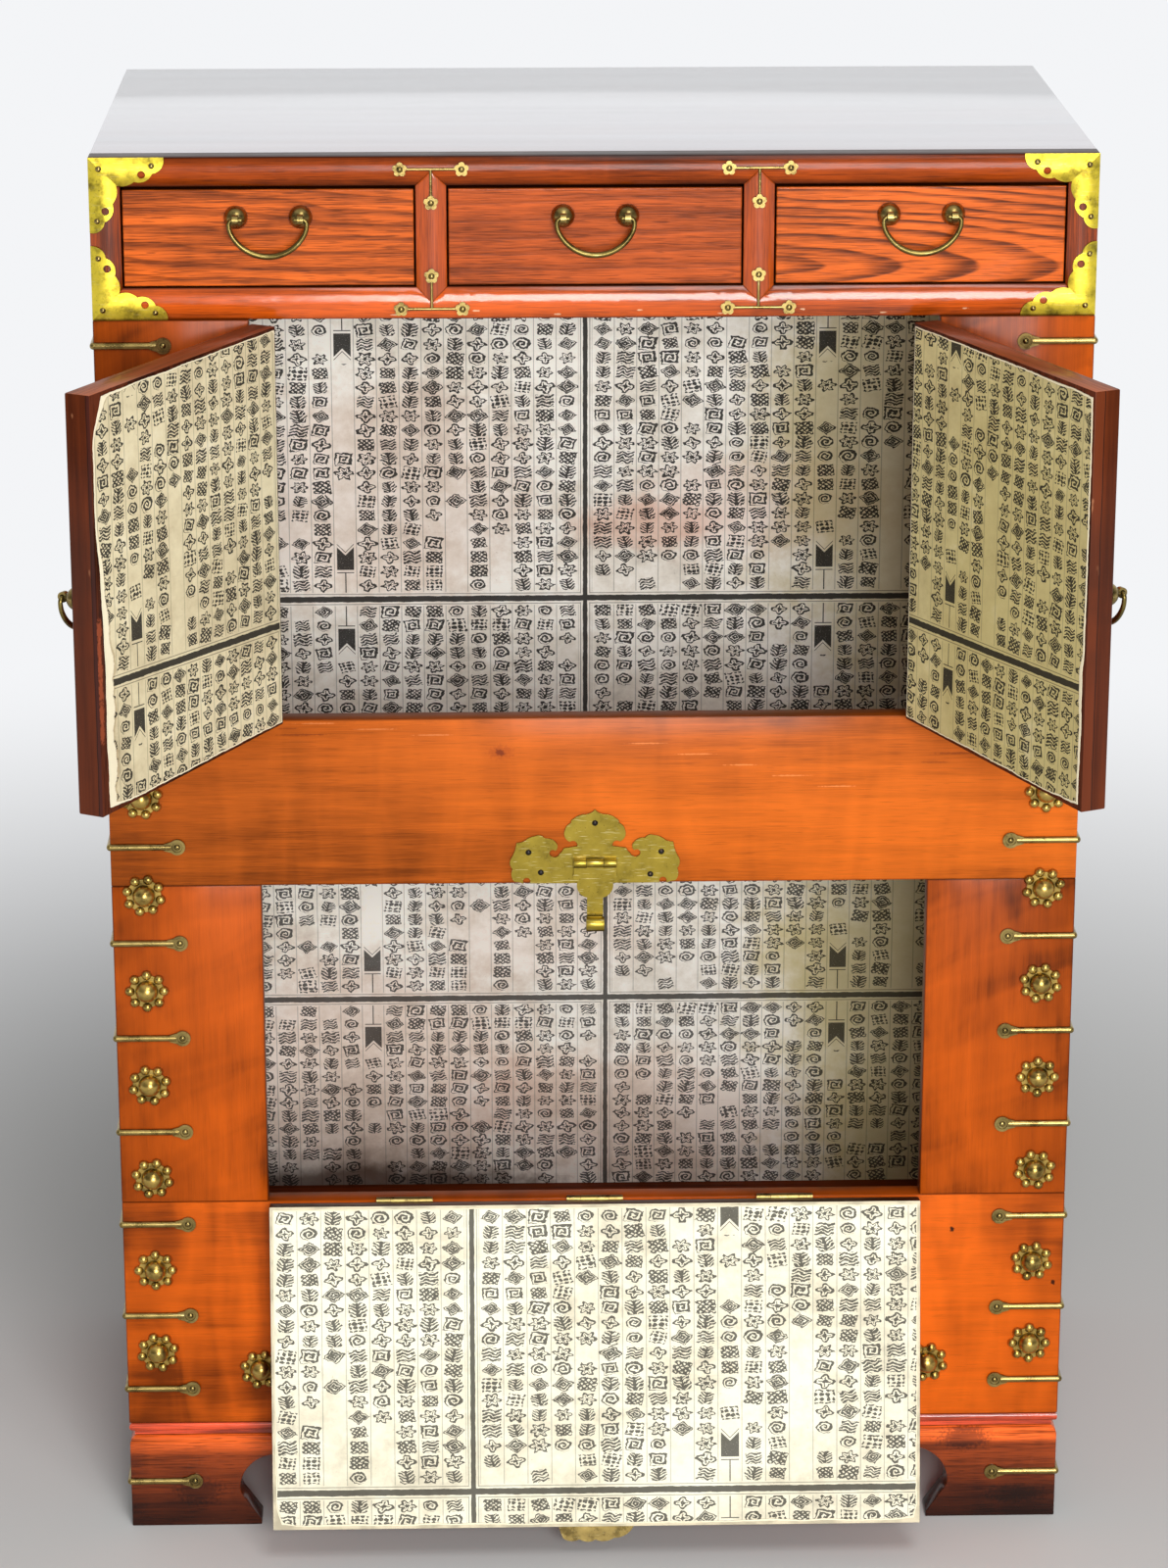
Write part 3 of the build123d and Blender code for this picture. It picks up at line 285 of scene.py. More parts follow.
class Finish(Graph):
    """A procedural material around one main shader."""

    def __init__(self, name, fixed=None):
        self.material = bpy.data.materials.new(name)
        self.material.use_nodes = True
        super().__init__(self.material.node_tree)
        self.shader = self.tree.nodes["Principled BSDF"]
        for socket, value in (fixed or {}).items():
            self.shader.inputs[socket].default_value = value

    def give(self, **sockets):
        """Links values to the main shader, by the socket's name with _ for a space."""
        for name, value in sockets.items():
            self.tree.links.new(value.socket, self.shader.inputs[name.replace("_", " ")])
        return self

    def place(self):
        return self.node("ShaderNodeTexCoord", output="Object")

    def laid(self):
        """Where a point lies when its door is closed."""
        return self.node("ShaderNodeAttribute", {"attribute_name": "laid"}, output="Vector")

    def layer(self, name):
        return self.node("ShaderNodeUVMap", {"uv_map": name})

    def nook(self, reach, low, high):
        """1 in corners and beside other pieces, within reach in millimetres, and 0 in the open."""
        fields = {"Distance": reach * MM}
        open_sky = self.node("ShaderNodeAmbientOcclusion", {"samples": 4}, fields, output="AO")
        return 1.0 - self.rise(open_sky, low, high)

    def cover(self, share, second):
        """Mixes a second shader over the main one."""
        painted = Value(self, self.shader.outputs["BSDF"])
        surface = self.node("ShaderNodeMixShader", inputs={0: share, 1: painted, 2: second})
        self.tree.links.new(surface.socket, self.tree.nodes["Material Output"].inputs["Surface"])
        return self

    def relief(self, height, depth):
        """Bumps as deep as depth, in millimetres, where height goes from 0 to 1."""
        fields = {"Strength": 1.0, "Distance": depth * MM, "Height": height}
        return self.give(Normal=self.node("ShaderNodeBump", inputs=fields))


def scaled(tone, share):
    return tuple(share * c for c in tone)


def mixed(first, second, share):
    return tuple(a + (b - a) * share for a, b in zip(first, second))


# ---- Finishes: wood ----
AXES = {"X": 0, "Y": 1, "Z": 2}


def stretched(along, lengthwise, across):
    """Pattern scales that run with the grain, in patterns per metre."""
    scale = [across] * 3
    scale[AXES[along]] = lengthwise
    return scale


class Rings(NamedTuple):
    """Growth rings about a heart below the face: where the heart lies, in metres, the slope at which it sinks
    along the grain, and the rings' pitch in millimetres."""

    along: float
    across: float
    depth: float
    slope: float
    pitch: float


def ring_lines(finish, place, along, across, rings):
    """Growth rings as a flat-sawn face shows them: arches about a heart that sinks away along the grain."""
    coordinates = finish.parts(place)
    lengthwise = coordinates[AXES[along]]
    crosswise = coordinates[AXES[across]]
    wobble = finish.noise(finish.mapped(place, stretched(along, 3.0, 14.0)), detail=3)
    waver = finish.noise(finish.mapped(place, stretched(along, 16.0, 60.0)), detail=2)
    sideways = crosswise - rings.across + (wobble - 0.5) * 0.03 + (waver - 0.5) * 0.004
    sunk = (lengthwise - rings.along) * rings.slope + rings.depth
    radius = (sideways * sideways + sunk * sunk) ** 0.5
    phase = (radius / (rings.pitch * MM) + wobble * 1.5) % 1.0
    return finish.rise(phase, 0.35, 0.86) * (1.0 - finish.rise(phase, 0.9, 1.0))


def spots(finish, skin, across, up, marks, uneven):
    """Soft spots on a colour. A mark is (across, up, reach across, reach up, strength, tone), with its place
    and reach in millimetres."""
    for at_across, at_up, reach_across, reach_up, strength, tone in marks:
        off_across = (across - at_across * MM) / (reach_across * MM)
        off_up = (up - at_up * MM) / (reach_up * MM)
        away = (off_across * off_across + off_up * off_up) ** 0.5 + (uneven - 0.5) * 1.4
        skin = finish.mix((1.0 - finish.rise(away, 0.45, 1.0)) * strength, skin, tone)
    return skin


def wood(
    name, tone, along="X", seed=0, figure=1.0, grain=1.0, fibre=1.0, pores=0.3, curls=0.3, slant=0.0,
    rings=None, across="Z", ring_depth=0.95, gloss=0.32, coat=0.2, coat_index=1.5, bump=0.03, snug=0.6,
    glaze=0.0, grime=None, shade=None, marks=(), closed=False,
):
    """Lacquered wood with its grain along one axis.

    figure, grain, fibre and pores are the strengths of its broad, fine, finest and open structure, and curls
    that of bands across it. slant turns the figure. across is the axis that the rings cross. gloss is the
    roughness, and snug is the darkening beside other pieces, dirt and painted shade in one. glaze is how
    much of a mirror deep lacquer becomes at a glancing look. grime works out dirt from the place, and shade
    a share of the colour, which in places is painted light and shade. closed takes a door's place from
    where it lies when it is closed.
    """
    fixed = {"Coat Weight": coat, "Coat Roughness": 0.14, "Coat IOR": coat_index, "Specular IOR Level": 0.06}
    finish = Finish(name, fixed)
    true_place = finish.laid() if closed else finish.place()
    place = finish.mapped(true_place, shift=(0.37 * seed, 0.71 * seed, 0.53 * seed))
    slanted = finish.mapped(place, turn=(0.0, slant, 0.0)) if slant else place
    cloud = finish.noise(finish.mapped(slanted, stretched(along, 2.4, 9.0)), detail=3, distortion=0.9)
    curl_bands = finish.noise(finish.mapped(slanted, stretched(along, 34.0, 9.0)), detail=2, distortion=0.6)
    streak = finish.noise(finish.mapped(place, stretched(along, 5.0, 130.0)), detail=5, roughness=0.66)
    thread = finish.noise(finish.mapped(place, stretched(along, 34.0, 1300.0)), detail=2)
    pore_field = finish.noise(finish.mapped(place, stretched(along, 44.0, 900.0)), detail=1)
    pore = finish.rise(pore_field, 0.62 - 0.08 * pores, 0.70 - 0.06 * pores)
    base = (cloud - 0.5) * (1.3 * figure) + (curl_bands - 0.5) * (0.8 * curls) + 0.5
    base = base + (streak - 0.5) * (1.3 * grain) + (thread - 0.5) * (0.7 * fibre)
    stops = [
        (0.24, scaled(tone, 0.36)),
        (0.40, scaled(tone, 0.74)),
        (0.50, tone),
        (0.62, scaled(tone, 1.22)),
        (0.80, scaled(tone, 1.5)),
    ]
    dark = scaled(tone, 0.16)
    skin = finish.ramp(base, stops)
    height = thread * 0.5 + streak * 0.5
    if rings:
        lines = ring_lines(finish, place, along, across, rings)
        broken = finish.noise(finish.mapped(place, stretched(along, 26.0, 800.0)), detail=3)
        broken = finish.rise(broken, 0.36, 0.6)
        skin = finish.mix(lines * finish.spread(broken, 0.45 * ring_depth, ring_depth), skin, dark)
        height = height - lines * broken * 0.9
    skin = finish.mix(pore * pores, skin, dark)
    height = height - pore * 0.6
    if grime:
        skin = finish.mix(grime(finish, true_place), skin, scaled(tone, 0.12))
    if marks:
        x, _, z = finish.parts(true_place)
        skin = spots(finish, skin, x, z, marks, finish.noise(true_place, 420.0, detail=2))
    if shade:
        skin = finish.darkened(skin, shade(finish, true_place))
    # Darkening beside other pieces: dirt and painted shade.
    if snug:
        skin = finish.mix(finish.nook(5.0, 0.30, 0.85) * snug, skin, scaled(tone, 0.07))
    smudge = finish.noise(true_place, 22.0, detail=3)
    finish.give(Base_Color=skin, Roughness=finish.spread(smudge, gloss - 0.09, gloss + 0.11))
    if glaze:
        facing = finish.node("ShaderNodeLayerWeight", output="Facing")
        streaks = finish.noise(finish.mapped(place, stretched(along, 1.2, 40.0)), detail=3)
        share = finish.rise(facing, 0.35, 0.72) * finish.spread(streaks, 0.85, 1.1) * glaze
        fields = {"Base Color": (0.86, 0.87, 0.90), "Metallic": 1.0, "Roughness": 0.2}
        finish.cover(share, finish.node("ShaderNodeBsdfPrincipled", inputs=fields))
    return finish.relief(height, bump).material


DIRT_FADE = 7.0 * MM  # how far the dirt reaches from an edge


def edge_dirt(x_edges=(), z_edges=(), width=1.3, strength=0.55):
    """Dirt and old lacquer that gather along a board's edges, given in metres, in a line of this width in
    millimetres."""

    def grime(finish, place):
        x, _, z = finish.parts(place)
        gaps = [abs(x - edge) for edge in x_edges] + [abs(z - edge) for edge in z_edges]
        gap = least(*gaps)
        uneven = finish.noise(place, 46.0, detail=4, roughness=0.7)
        line = 1.0 - finish.rise(gap, width * 0.3 * MM, width * MM)
        halo = (1.0 - finish.rise(gap, 0.0, DIRT_FADE)) * finish.rise(uneven, 0.42, 0.75)
        return most(line * strength, halo * strength * 0.55)

    return grime


# ---- Finishes: paper ----
# An ornament fills the square from -1 to 1 across and up, and line is half the width of its strokes.
def petals(across, up, count, line):
    """The outline of a blossom with ribs and a heart."""
    radius = (across * across + up * up) ** 0.5
    angle = up.math("ARCTAN2", across)
    lobe = (angle * count).math("COSINE") * 0.2 + 0.74
    outline = abs(radius - lobe) < line
    ribs = least(abs((angle * (count / 2)).math("SINE")) * radius < line * 0.9, radius < 0.62)
    return most(outline, ribs, radius < line * 1.7)


def lozenge(across, up, line):
    """Three lozenges, one inside the other."""
    reach = abs(across) * 0.95 + abs(up)
    return least(abs((reach + 4.14) % 0.42 - 0.21) < line * 1.15, reach < 1.15)


def sprig(across, up, line):
    """A stem with leaves that rise to both sides."""
    stem = least(abs(across) < line, abs(up) < 0.95)
    slant = (up - abs(across) * 0.8 + 4.2) % 0.46
    leaves = least(abs(slant - 0.23) < line, abs(across) < 0.92 - abs(up) * 0.2, abs(up) < 0.98)
    return most(stem, leaves)


def ripples(across, up, line):
    """Four wavy lines, one over the other."""
    wave = up + (across * 5.2).math("SINE") * 0.15
    return least(abs((wave + 4.14) % 0.46 - 0.23) < line, abs(across) < 0.95, abs(up) < 0.95)


def curl(across, up, reach, line):
    """A spiral of two turns, round or square as its reach is measured."""
    angle = up.math("ARCTAN2", across)
    turn = (reach * 2.1 - angle / (2 * pi) + 4.0) % 1.0
    return least(abs(turn - 0.5) < line * 2.1, reach < 0.98)


def lattice(across, up, line):
    """Crossing slanted bars."""
    rising = abs((across + up + 4.25) % 0.62 - 0.31) < line * 1.1
    falling = abs((across - up + 4.25) % 0.62 - 0.31) < line * 1.1
    return least(most(rising, falling), abs(across) < 0.92, abs(up) < 0.92)


def dabs(across, up, line):
    """Nine brush dabs in rows of three."""
    column = abs((across + 4.35) % 0.62 - 0.31)
    row = abs((up + 4.35) % 0.62 - 0.31)
    return least((column * column + row * row) ** 0.5 < line * 1.8, abs(across) < 0.95, abs(up) < 0.95)


# The layout of the print, besides what the settings give. Across is u, and up is v.
COLUMNS = 21
CENTRE_COLUMN = 10
PAGES_BEFORE = 20  # added to a place, so that one before the sheet's origin counts up too
HALF_BAND_U = 1.9 * MM
HALF_BAND_V = 2.5 * MM
FRAME_U = 3.9 * MM  # from the middle of a band to the thin line beside it
FRAME_V = 4.5 * MM
HALF_LINE = 0.4 * MM
MARGIN_V = 6.0 * MM  # from the middle of a level band to the first row
MARK_U = 8.0 * MM  # from a mark's middle to its side
MARK_V = 5.8 * MM
HALF_TAIL = 7.2 * MM
TAIL_START = 26.0 * MM  # the fishtail in the centre column, from the level band
TAIL_END = 46.0 * MM
TAIL_RIM = 23.6 * MM
NOTCH_RIM = 2.6 * MM  # from the notch to its rim
HALF_STEM = 0.5 * MM
STEM_END = 24.0 * MM
TAIL_ROOM = 52.0 * MM  # without marks


class Page:
    """Where each point of a printed sheet lies on its page. Two bands cross at the sheet's own origin."""

    def __init__(self, finish, sheet, paper):
        self.finish = finish
        self.sheet = sheet
        self.paper = paper
        width, height = paper.page_width, paper.page_height
        u, v, _ = finish.parts(sheet)
        page_u = (u + width * PAGES_BEFORE) % width
        page_v = (v + height * PAGES_BEFORE) % height
        self.off_centre = abs(page_u - width / 2)
        self.from_band_u = width / 2 - self.off_centre
        self.from_band_v = height / 2 - abs(page_v - height / 2)
        self.number_u = (u / width).math("FLOOR")
        self.number_v = (v / height).math("FLOOR")
        margin_u = (width - COLUMNS * paper.column) / 2
        self.inside = least(self.from_band_u > margin_u, self.from_band_v > MARGIN_V)
        self.column_place = (page_u - margin_u) / paper.column
        self.row_place = (page_v - MARGIN_V) / paper.row
        self.column = self.column_place.math("FLOOR")
        self.row = self.row_place.math("FLOOR")
        self.in_centre = least(self.column > CENTRE_COLUMN - 0.5, self.column < CENTRE_COLUMN + 0.5)

    def draw(self, layer):
        """A random number from 0 to 1 for each mark, another one for each layer."""
        across = self.column + self.number_u * 31.0
        up = self.row + self.number_v * 47.0
        return self.finish.chance(self.finish.joined(across, up, layer))

    def bands(self):
        """The thick bands between pages."""
        waver = self.finish.noise(self.sheet, 140.0, detail=2) - 0.5
        upright = self.from_band_u + waver * 0.0014 < HALF_BAND_U
        level = self.from_band_v + waver * 0.0016 < HALF_BAND_V
        return most(upright, level)

    def frame_lines(self):
        """The thin lines inside the bands."""
        upright = least(abs(self.from_band_u - FRAME_U) < HALF_LINE, self.from_band_v > FRAME_U)
        level = least(abs(self.from_band_v - FRAME_V) < HALF_LINE, self.from_band_u > FRAME_U)
        return most(upright, level)

    def rules(self):
        """The lines between columns."""
        return abs(self.column_place.math("FRACT") - 0.5) > 0.5 - HALF_LINE / self.paper.column

    def marks(self):
        """A bent and leaning ornament for each row of each column."""
        finish, sheet, paper = self.finish, self.sheet, self.paper
        pick = self.draw(3.0)
        pick_size = self.draw(8.0)
        pick_turn = self.draw(13.0)
        page_number = self.number_u * 7.0 + self.number_v * 3.0
        pick_column = finish.chance(finish.joined(self.column, page_number, 21.0))
        bend = finish.noise(sheet, 300.0, detail=1) - 0.5
        bend_up = finish.noise(finish.mapped(sheet, shift=(3, 5, 7)), 300.0, detail=1) - 0.5
        stretch = finish.spread(pick_size, 0.95, 1.2)
        flat_u = (self.column_place.math("FRACT") - 0.5) * (paper.column / MARK_U) * stretch + bend * 0.5
        flat_v = (self.row_place.math("FRACT") - 0.5) * (paper.row / MARK_V) * stretch + bend_up * 0.5
        lean = (pick_turn - 0.5) * 0.5
        across = flat_u + flat_v * lean
        up = flat_v - flat_u * lean
        line = finish.spread(finish.noise(sheet, 210.0, detail=2), 0.04, 0.24)
        round_reach = (across * across + up * up) ** 0.5
        square_reach = most(abs(across), abs(up))

        def kind(low, high, mark):
            return least(pick > low, pick < high, mark)

        drawn = most(
            kind(-1.0, 0.14, petals(across, up, 4.0, line)),
            kind(0.14, 0.28, petals(across, up, 6.0, line)),
            kind(0.28, 0.40, lozenge(across, up, line)),
            kind(0.40, 0.54, sprig(across, up, line)),
            kind(0.54, 0.64, ripples(across, up, line)),
            kind(0.64, 0.74, curl(across, up, round_reach, line)),
            kind(0.74, 0.82, curl(across, up, square_reach, line)),
            kind(0.82, 0.92, lattice(across, up, line)),
            kind(0.92, 2.0, dabs(across, up, line)),
        )
        column_end = finish.spread(pick_column, -50.0, 12.0)
        filled = least(self.row + 0.5 > column_end, pick_size > 0.02)
        skipped = least(self.in_centre, pick_turn < 0.45)
        near_tail = least(self.in_centre, self.from_band_v < TAIL_ROOM)
        return drawn * filled * (1.0 - skipped) * (1.0 - near_tail)

    def fishtail(self):
        """The fishtail in the centre column, with its rim and the stem that it hangs on."""
        notch = TAIL_END - (HALF_TAIL - self.off_centre)
        within = self.off_centre < HALF_TAIL
        tail = least(within, self.from_band_v > TAIL_START, self.from_band_v < notch)
        rim = abs(self.from_band_v - TAIL_RIM) < HALF_LINE
        notch_rim = abs(self.from_band_v - notch - NOTCH_RIM) < HALF_LINE
        stem = least(self.off_centre < HALF_STEM, self.from_band_v < STEM_END)
        return most(tail, stem, least(most(rim, notch_rim), within))


def printed(finish, sheet, paper):
    """How inked each point of a printed sheet is."""
    page = Page(finish, sheet, paper)
    patchy = finish.noise(sheet, 900.0, detail=3, roughness=0.8)
    marks = most(page.marks(), page.fishtail()) * page.inside * finish.rise(patchy, 0.2, 0.42)
    lines = most(page.rules() * page.inside * 0.42, page.frame_lines() * 0.6)
    return most(marks, lines, page.bands() * finish.rise(patchy, 0.1, 0.3))


def paper_finish(name, tone, stains=(), seed=0, torn=False, shade_across_sheet=None, inked=0.95):
    """Printed paper. An optional function works out a share of the colour from the place across the sheet, as
    painted light and shade. A torn sheet has a second layer of its own, where 1 lies at the inner end of its bare
    rim."""
    paper = settings("paper")
    finish = Finish(name, {"Roughness": 0.86, "Specular IOR Level": 0.2})
    sheet = finish.layer("sheet")
    shifted = finish.mapped(sheet, shift=(0.41 * seed, 0.23 * seed, 0.0))
    blotch = finish.noise(shifted, 9.0, detail=5, roughness=0.62)
    mottle = finish.noise(shifted, 60.0, detail=4, roughness=0.7)
    fleck = finish.rise(finish.noise(shifted, 420.0, detail=2), 0.68, 0.76)
    hair = finish.rise(finish.noise(finish.mapped(shifted, scale=(30.0, 900.0, 1.0)), detail=2), 0.66, 0.74)
    stops = [
        (0.28, mixed(scaled(tone, 0.62), srgb(150, 124, 84), 0.30)),
        (0.44, mixed(scaled(tone, 0.90), srgb(196, 172, 128), 0.22)),
        (0.56, tone),
        (0.78, mixed(tone, srgb(250, 246, 232), 0.55)),
    ]
    skin = finish.ramp(blotch * 0.62 + mottle * 0.38, stops)
    skin = finish.mix(fleck * 0.28, skin, srgb(128, 100, 66))
    skin = finish.mix(hair * 0.12, skin, srgb(140, 118, 84))
    u, v, _ = finish.parts(sheet)
    skin = spots(finish, skin, u, v, stains, blotch * 0.7 + mottle * 0.3)
    # Painted light and shade across the sheet.
    if shade_across_sheet:
        skin = finish.darkened(skin, shade_across_sheet(finish, u))
    ink = printed(finish, sheet, paper)
    if torn:
        rim = finish.parts(finish.layer("rim"))[0] + (mottle - 0.5) * 1.1
        bare = 1.0 - finish.rise(rim, 0.86, 1.0)
        brown_line = finish.rise(rim, 0.8, 0.95) * (1.0 - finish.rise(rim, 1.0, 1.25))
        ink = ink * (1.0 - bare)
        skin = finish.mix(bare * 0.85, skin, srgb(246, 236, 206))
        skin = finish.mix(brown_line * 0.45, skin, srgb(150, 116, 74))
    finish.give(Base_Color=finish.mix(ink * inked, skin, tuple(paper.ink)))
    crease = finish.cracks(finish.mapped(shifted, scale=(1.0, 1.6, 1.0)), 9.0)
    height = blotch * 0.5 + mottle * 0.25 + finish.rise(crease, 0.0, 0.03) * 0.25
    return finish.relief(height, 0.12).material


# ---- Finishes: metal ----
def brass(name, tone, seed, rough, tarnish, scratches, dirt_and_shade_reach=2.5, cloudy=1.0):
    """Brass with darker tarnish, dirt in its corners that is partly painted shade, fine scratches and hammer-soft
    dents. cloudy is how far its broad clouds go from light to dark."""
    finish = Finish(name, {"Metallic": 1.0})
    place = finish.mapped(finish.place(), shift=(0.3 * seed, 0.2 * seed, 0.1 * seed))
    cloud = finish.noise(place, 70.0, detail=4, roughness=0.65)
    speck = finish.rise(finish.noise(place, 620.0, detail=2), 0.64, 0.74)
    scratch = finish.noise(finish.mapped(place, (90, 90, 1900), turn=(0.3, 0.5, 0)), detail=1)
    scratch = finish.rise(scratch, 0.66, 0.72)
    # Dirt in corners and beside raised parts, partly painted shade.
    dirt = finish.nook(dirt_and_shade_reach, 0.35, 0.85) * finish.spread(cloud, 0.6, 1.2)
    stops = [
        (0.32, mixed(scaled(tone, 0.42), srgb(84, 66, 34), 0.4)),
        (0.5, scaled(tone, 0.84)),
        (0.66, tone),
        (0.85, mixed(tone, srgb(255, 244, 190), 0.35)),
    ]
    clouded = finish.ramp((cloud - 0.58) * cloudy + 0.58, stops)
    skin = finish.mix(speck * tarnish, clouded, srgb(60, 48, 28))
    skin = finish.mix(scratch * scratches, skin, srgb(240, 226, 170))
    skin = finish.mix(dirt * 0.85, skin, srgb(38, 28, 18))
    roughness = finish.spread(cloud, rough - 0.1, rough + 0.14) + speck * 0.12 + dirt * 0.3
    finish.give(Base_Color=skin, Roughness=roughness)
    return finish.relief(cloud * 0.7 - speck * 0.2 - scratch * 0.1, 0.05).material


def iron(name, tone):
    finish = Finish(name, {"Metallic": 0.85})
    cloud = finish.noise(finish.place(), 320.0, detail=4)
    skin = finish.mix(finish.rise(cloud, 0.5, 0.75), tone, scaled(srgb(120, 92, 60), 0.9))
    finish.give(Base_Color=skin, Roughness=finish.spread(cloud, 0.22, 0.5))
    return finish.relief(cloud, 0.05).material


# ---- Mesh helpers ----
MERGE = 0.004 * MM
FLAT_ANGLE = radians(0.6)
SHARP_ANGLE = radians(32)
MANY_CORNERS = 9


def merged(node):
    """A copy of a CAD node with its loose triangles joined into whole faces."""
    shape = bmesh.new()
    shape.from_mesh(frame["nodes"][node].data)
    bmesh.ops.remove_doubles(shape, verts=shape.verts, dist=MERGE)
    bmesh.ops.dissolve_limit(shape, angle_limit=FLAT_ANGLE, verts=shape.verts, edges=shape.edges)
    return shape


def ease(shape, width):
    """Rounds the sharp edges of a shape."""
    edges = [e for e in shape.edges if e.is_manifold and e.calc_face_angle(0.0) > SHARP_ANGLE]
    bmesh.ops.bevel(
        shape, geom=edges, offset=width, segments=2, affect="EDGES", profile=0.5, material=-1,
        clamp_overlap=True,
    )
    return shape


def add_piece(name, node, shape, materials, laid=None):
    """A finished piece that stands for a CAD node and rides on its body. laid closes its door, for patterns.
    A face with many corners is a flat one and is shaded flat."""
    for face in shape.faces:
        face.smooth = len(face.verts) < MANY_CORNERS
    for edge in shape.edges:
        edge.smooth = edge.is_manifold and edge.calc_face_angle(0.0) < SHARP_ANGLE
    mesh = bpy.data.meshes.new(name)
    shape.to_mesh(mesh)
    shape.free()
    if laid:
        places = mesh.attributes.new("laid", "FLOAT_VECTOR", "POINT")
        for vertex, value in zip(mesh.vertices, places.data):
            value.vector = laid @ vertex.co
    for material in materials:
        mesh.materials.append(material)
    piece = bpy.data.objects.new(name, mesh)
    bpy.context.scene.collection.objects.link(piece)
    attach(piece, BODY_OF[node])
    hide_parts(node)


def eased_piece(node, material, width):
    """The dressed form of a node whose shape is right but whose edges are worn round."""
    add_piece("worn_" + node, node, ease(merged(node), width), [material])


def finish_node(node, material):
    """A CAD node that stays as it is and gets this material."""
    piece = frame["nodes"][node]
    if not piece.material_slots:
        piece.data.materials.append(material)
    for slot in piece.material_slots:
        slot.material = material


def closing(node):
    """The transform that lays a point of an open door where it is when the door is closed."""
    joint = JOINTS[BODY_OF[node] + "_hinge"]
    closed_angle = radians(joint["range_deg"][0])
    pivot = Vector(joint["pos_m"])
    turn = Matrix.Rotation(closed_angle, 4, Vector(joint["axis"]))
    return Matrix.Translation(pivot) @ turn @ Matrix.Translation(-pivot)


class PieceOperator(bpy.types.Operator):
    """What every piece operator shares."""

    bl_options = {"REGISTER", "UNDO"}

    def execute(self, context):
        self.build()
        return {"FINISHED"}


# ---- Carcass ----
BLACK = srgb(22, 14, 10)
PALE = srgb(226, 190, 150)


def inner_edge(node):
    """Where the right-hand one of a pair of boards starts."""
    return min(v.co.x for v in frame["nodes"][node].data.vertices if v.co.x > 0.0)


# Painted shade towards the left of the front and painted light towards the right.
def painted_shade_left(finish, place):
    return finish.spread(finish.rise(finish.parts(place)[0], -0.4, 0.2), 0.8, 1.04)


def darker_out(finish, place):
    """Darker towards both sides, and towards the lower right, on top of the painted shade towards the left."""
    x, _, z = finish.parts(place)
    out = finish.rise(abs(x) + (finish.noise(place, 6.0) - 0.5) * 0.06, 0.27, 0.37)
    low_right = finish.rise(x, 0.0, 0.1) * (1.0 - finish.rise(z, 0.5, 0.75))
    return painted_shade_left(finish, place) * finish.spread(out, 1.1, 0.84) * (1.0 - low_right * 0.22)


def darker_front_rim(finish, place):
    """Darker along the front edge."""
    uneven = finish.noise(place, 30.0, detail=4)
    depth = finish.parts(place)[1] + (uneven - 0.5) * 0.02
    return finish.spread(finish.rise(depth, -0.214, -0.196), 0.55, 1.0)


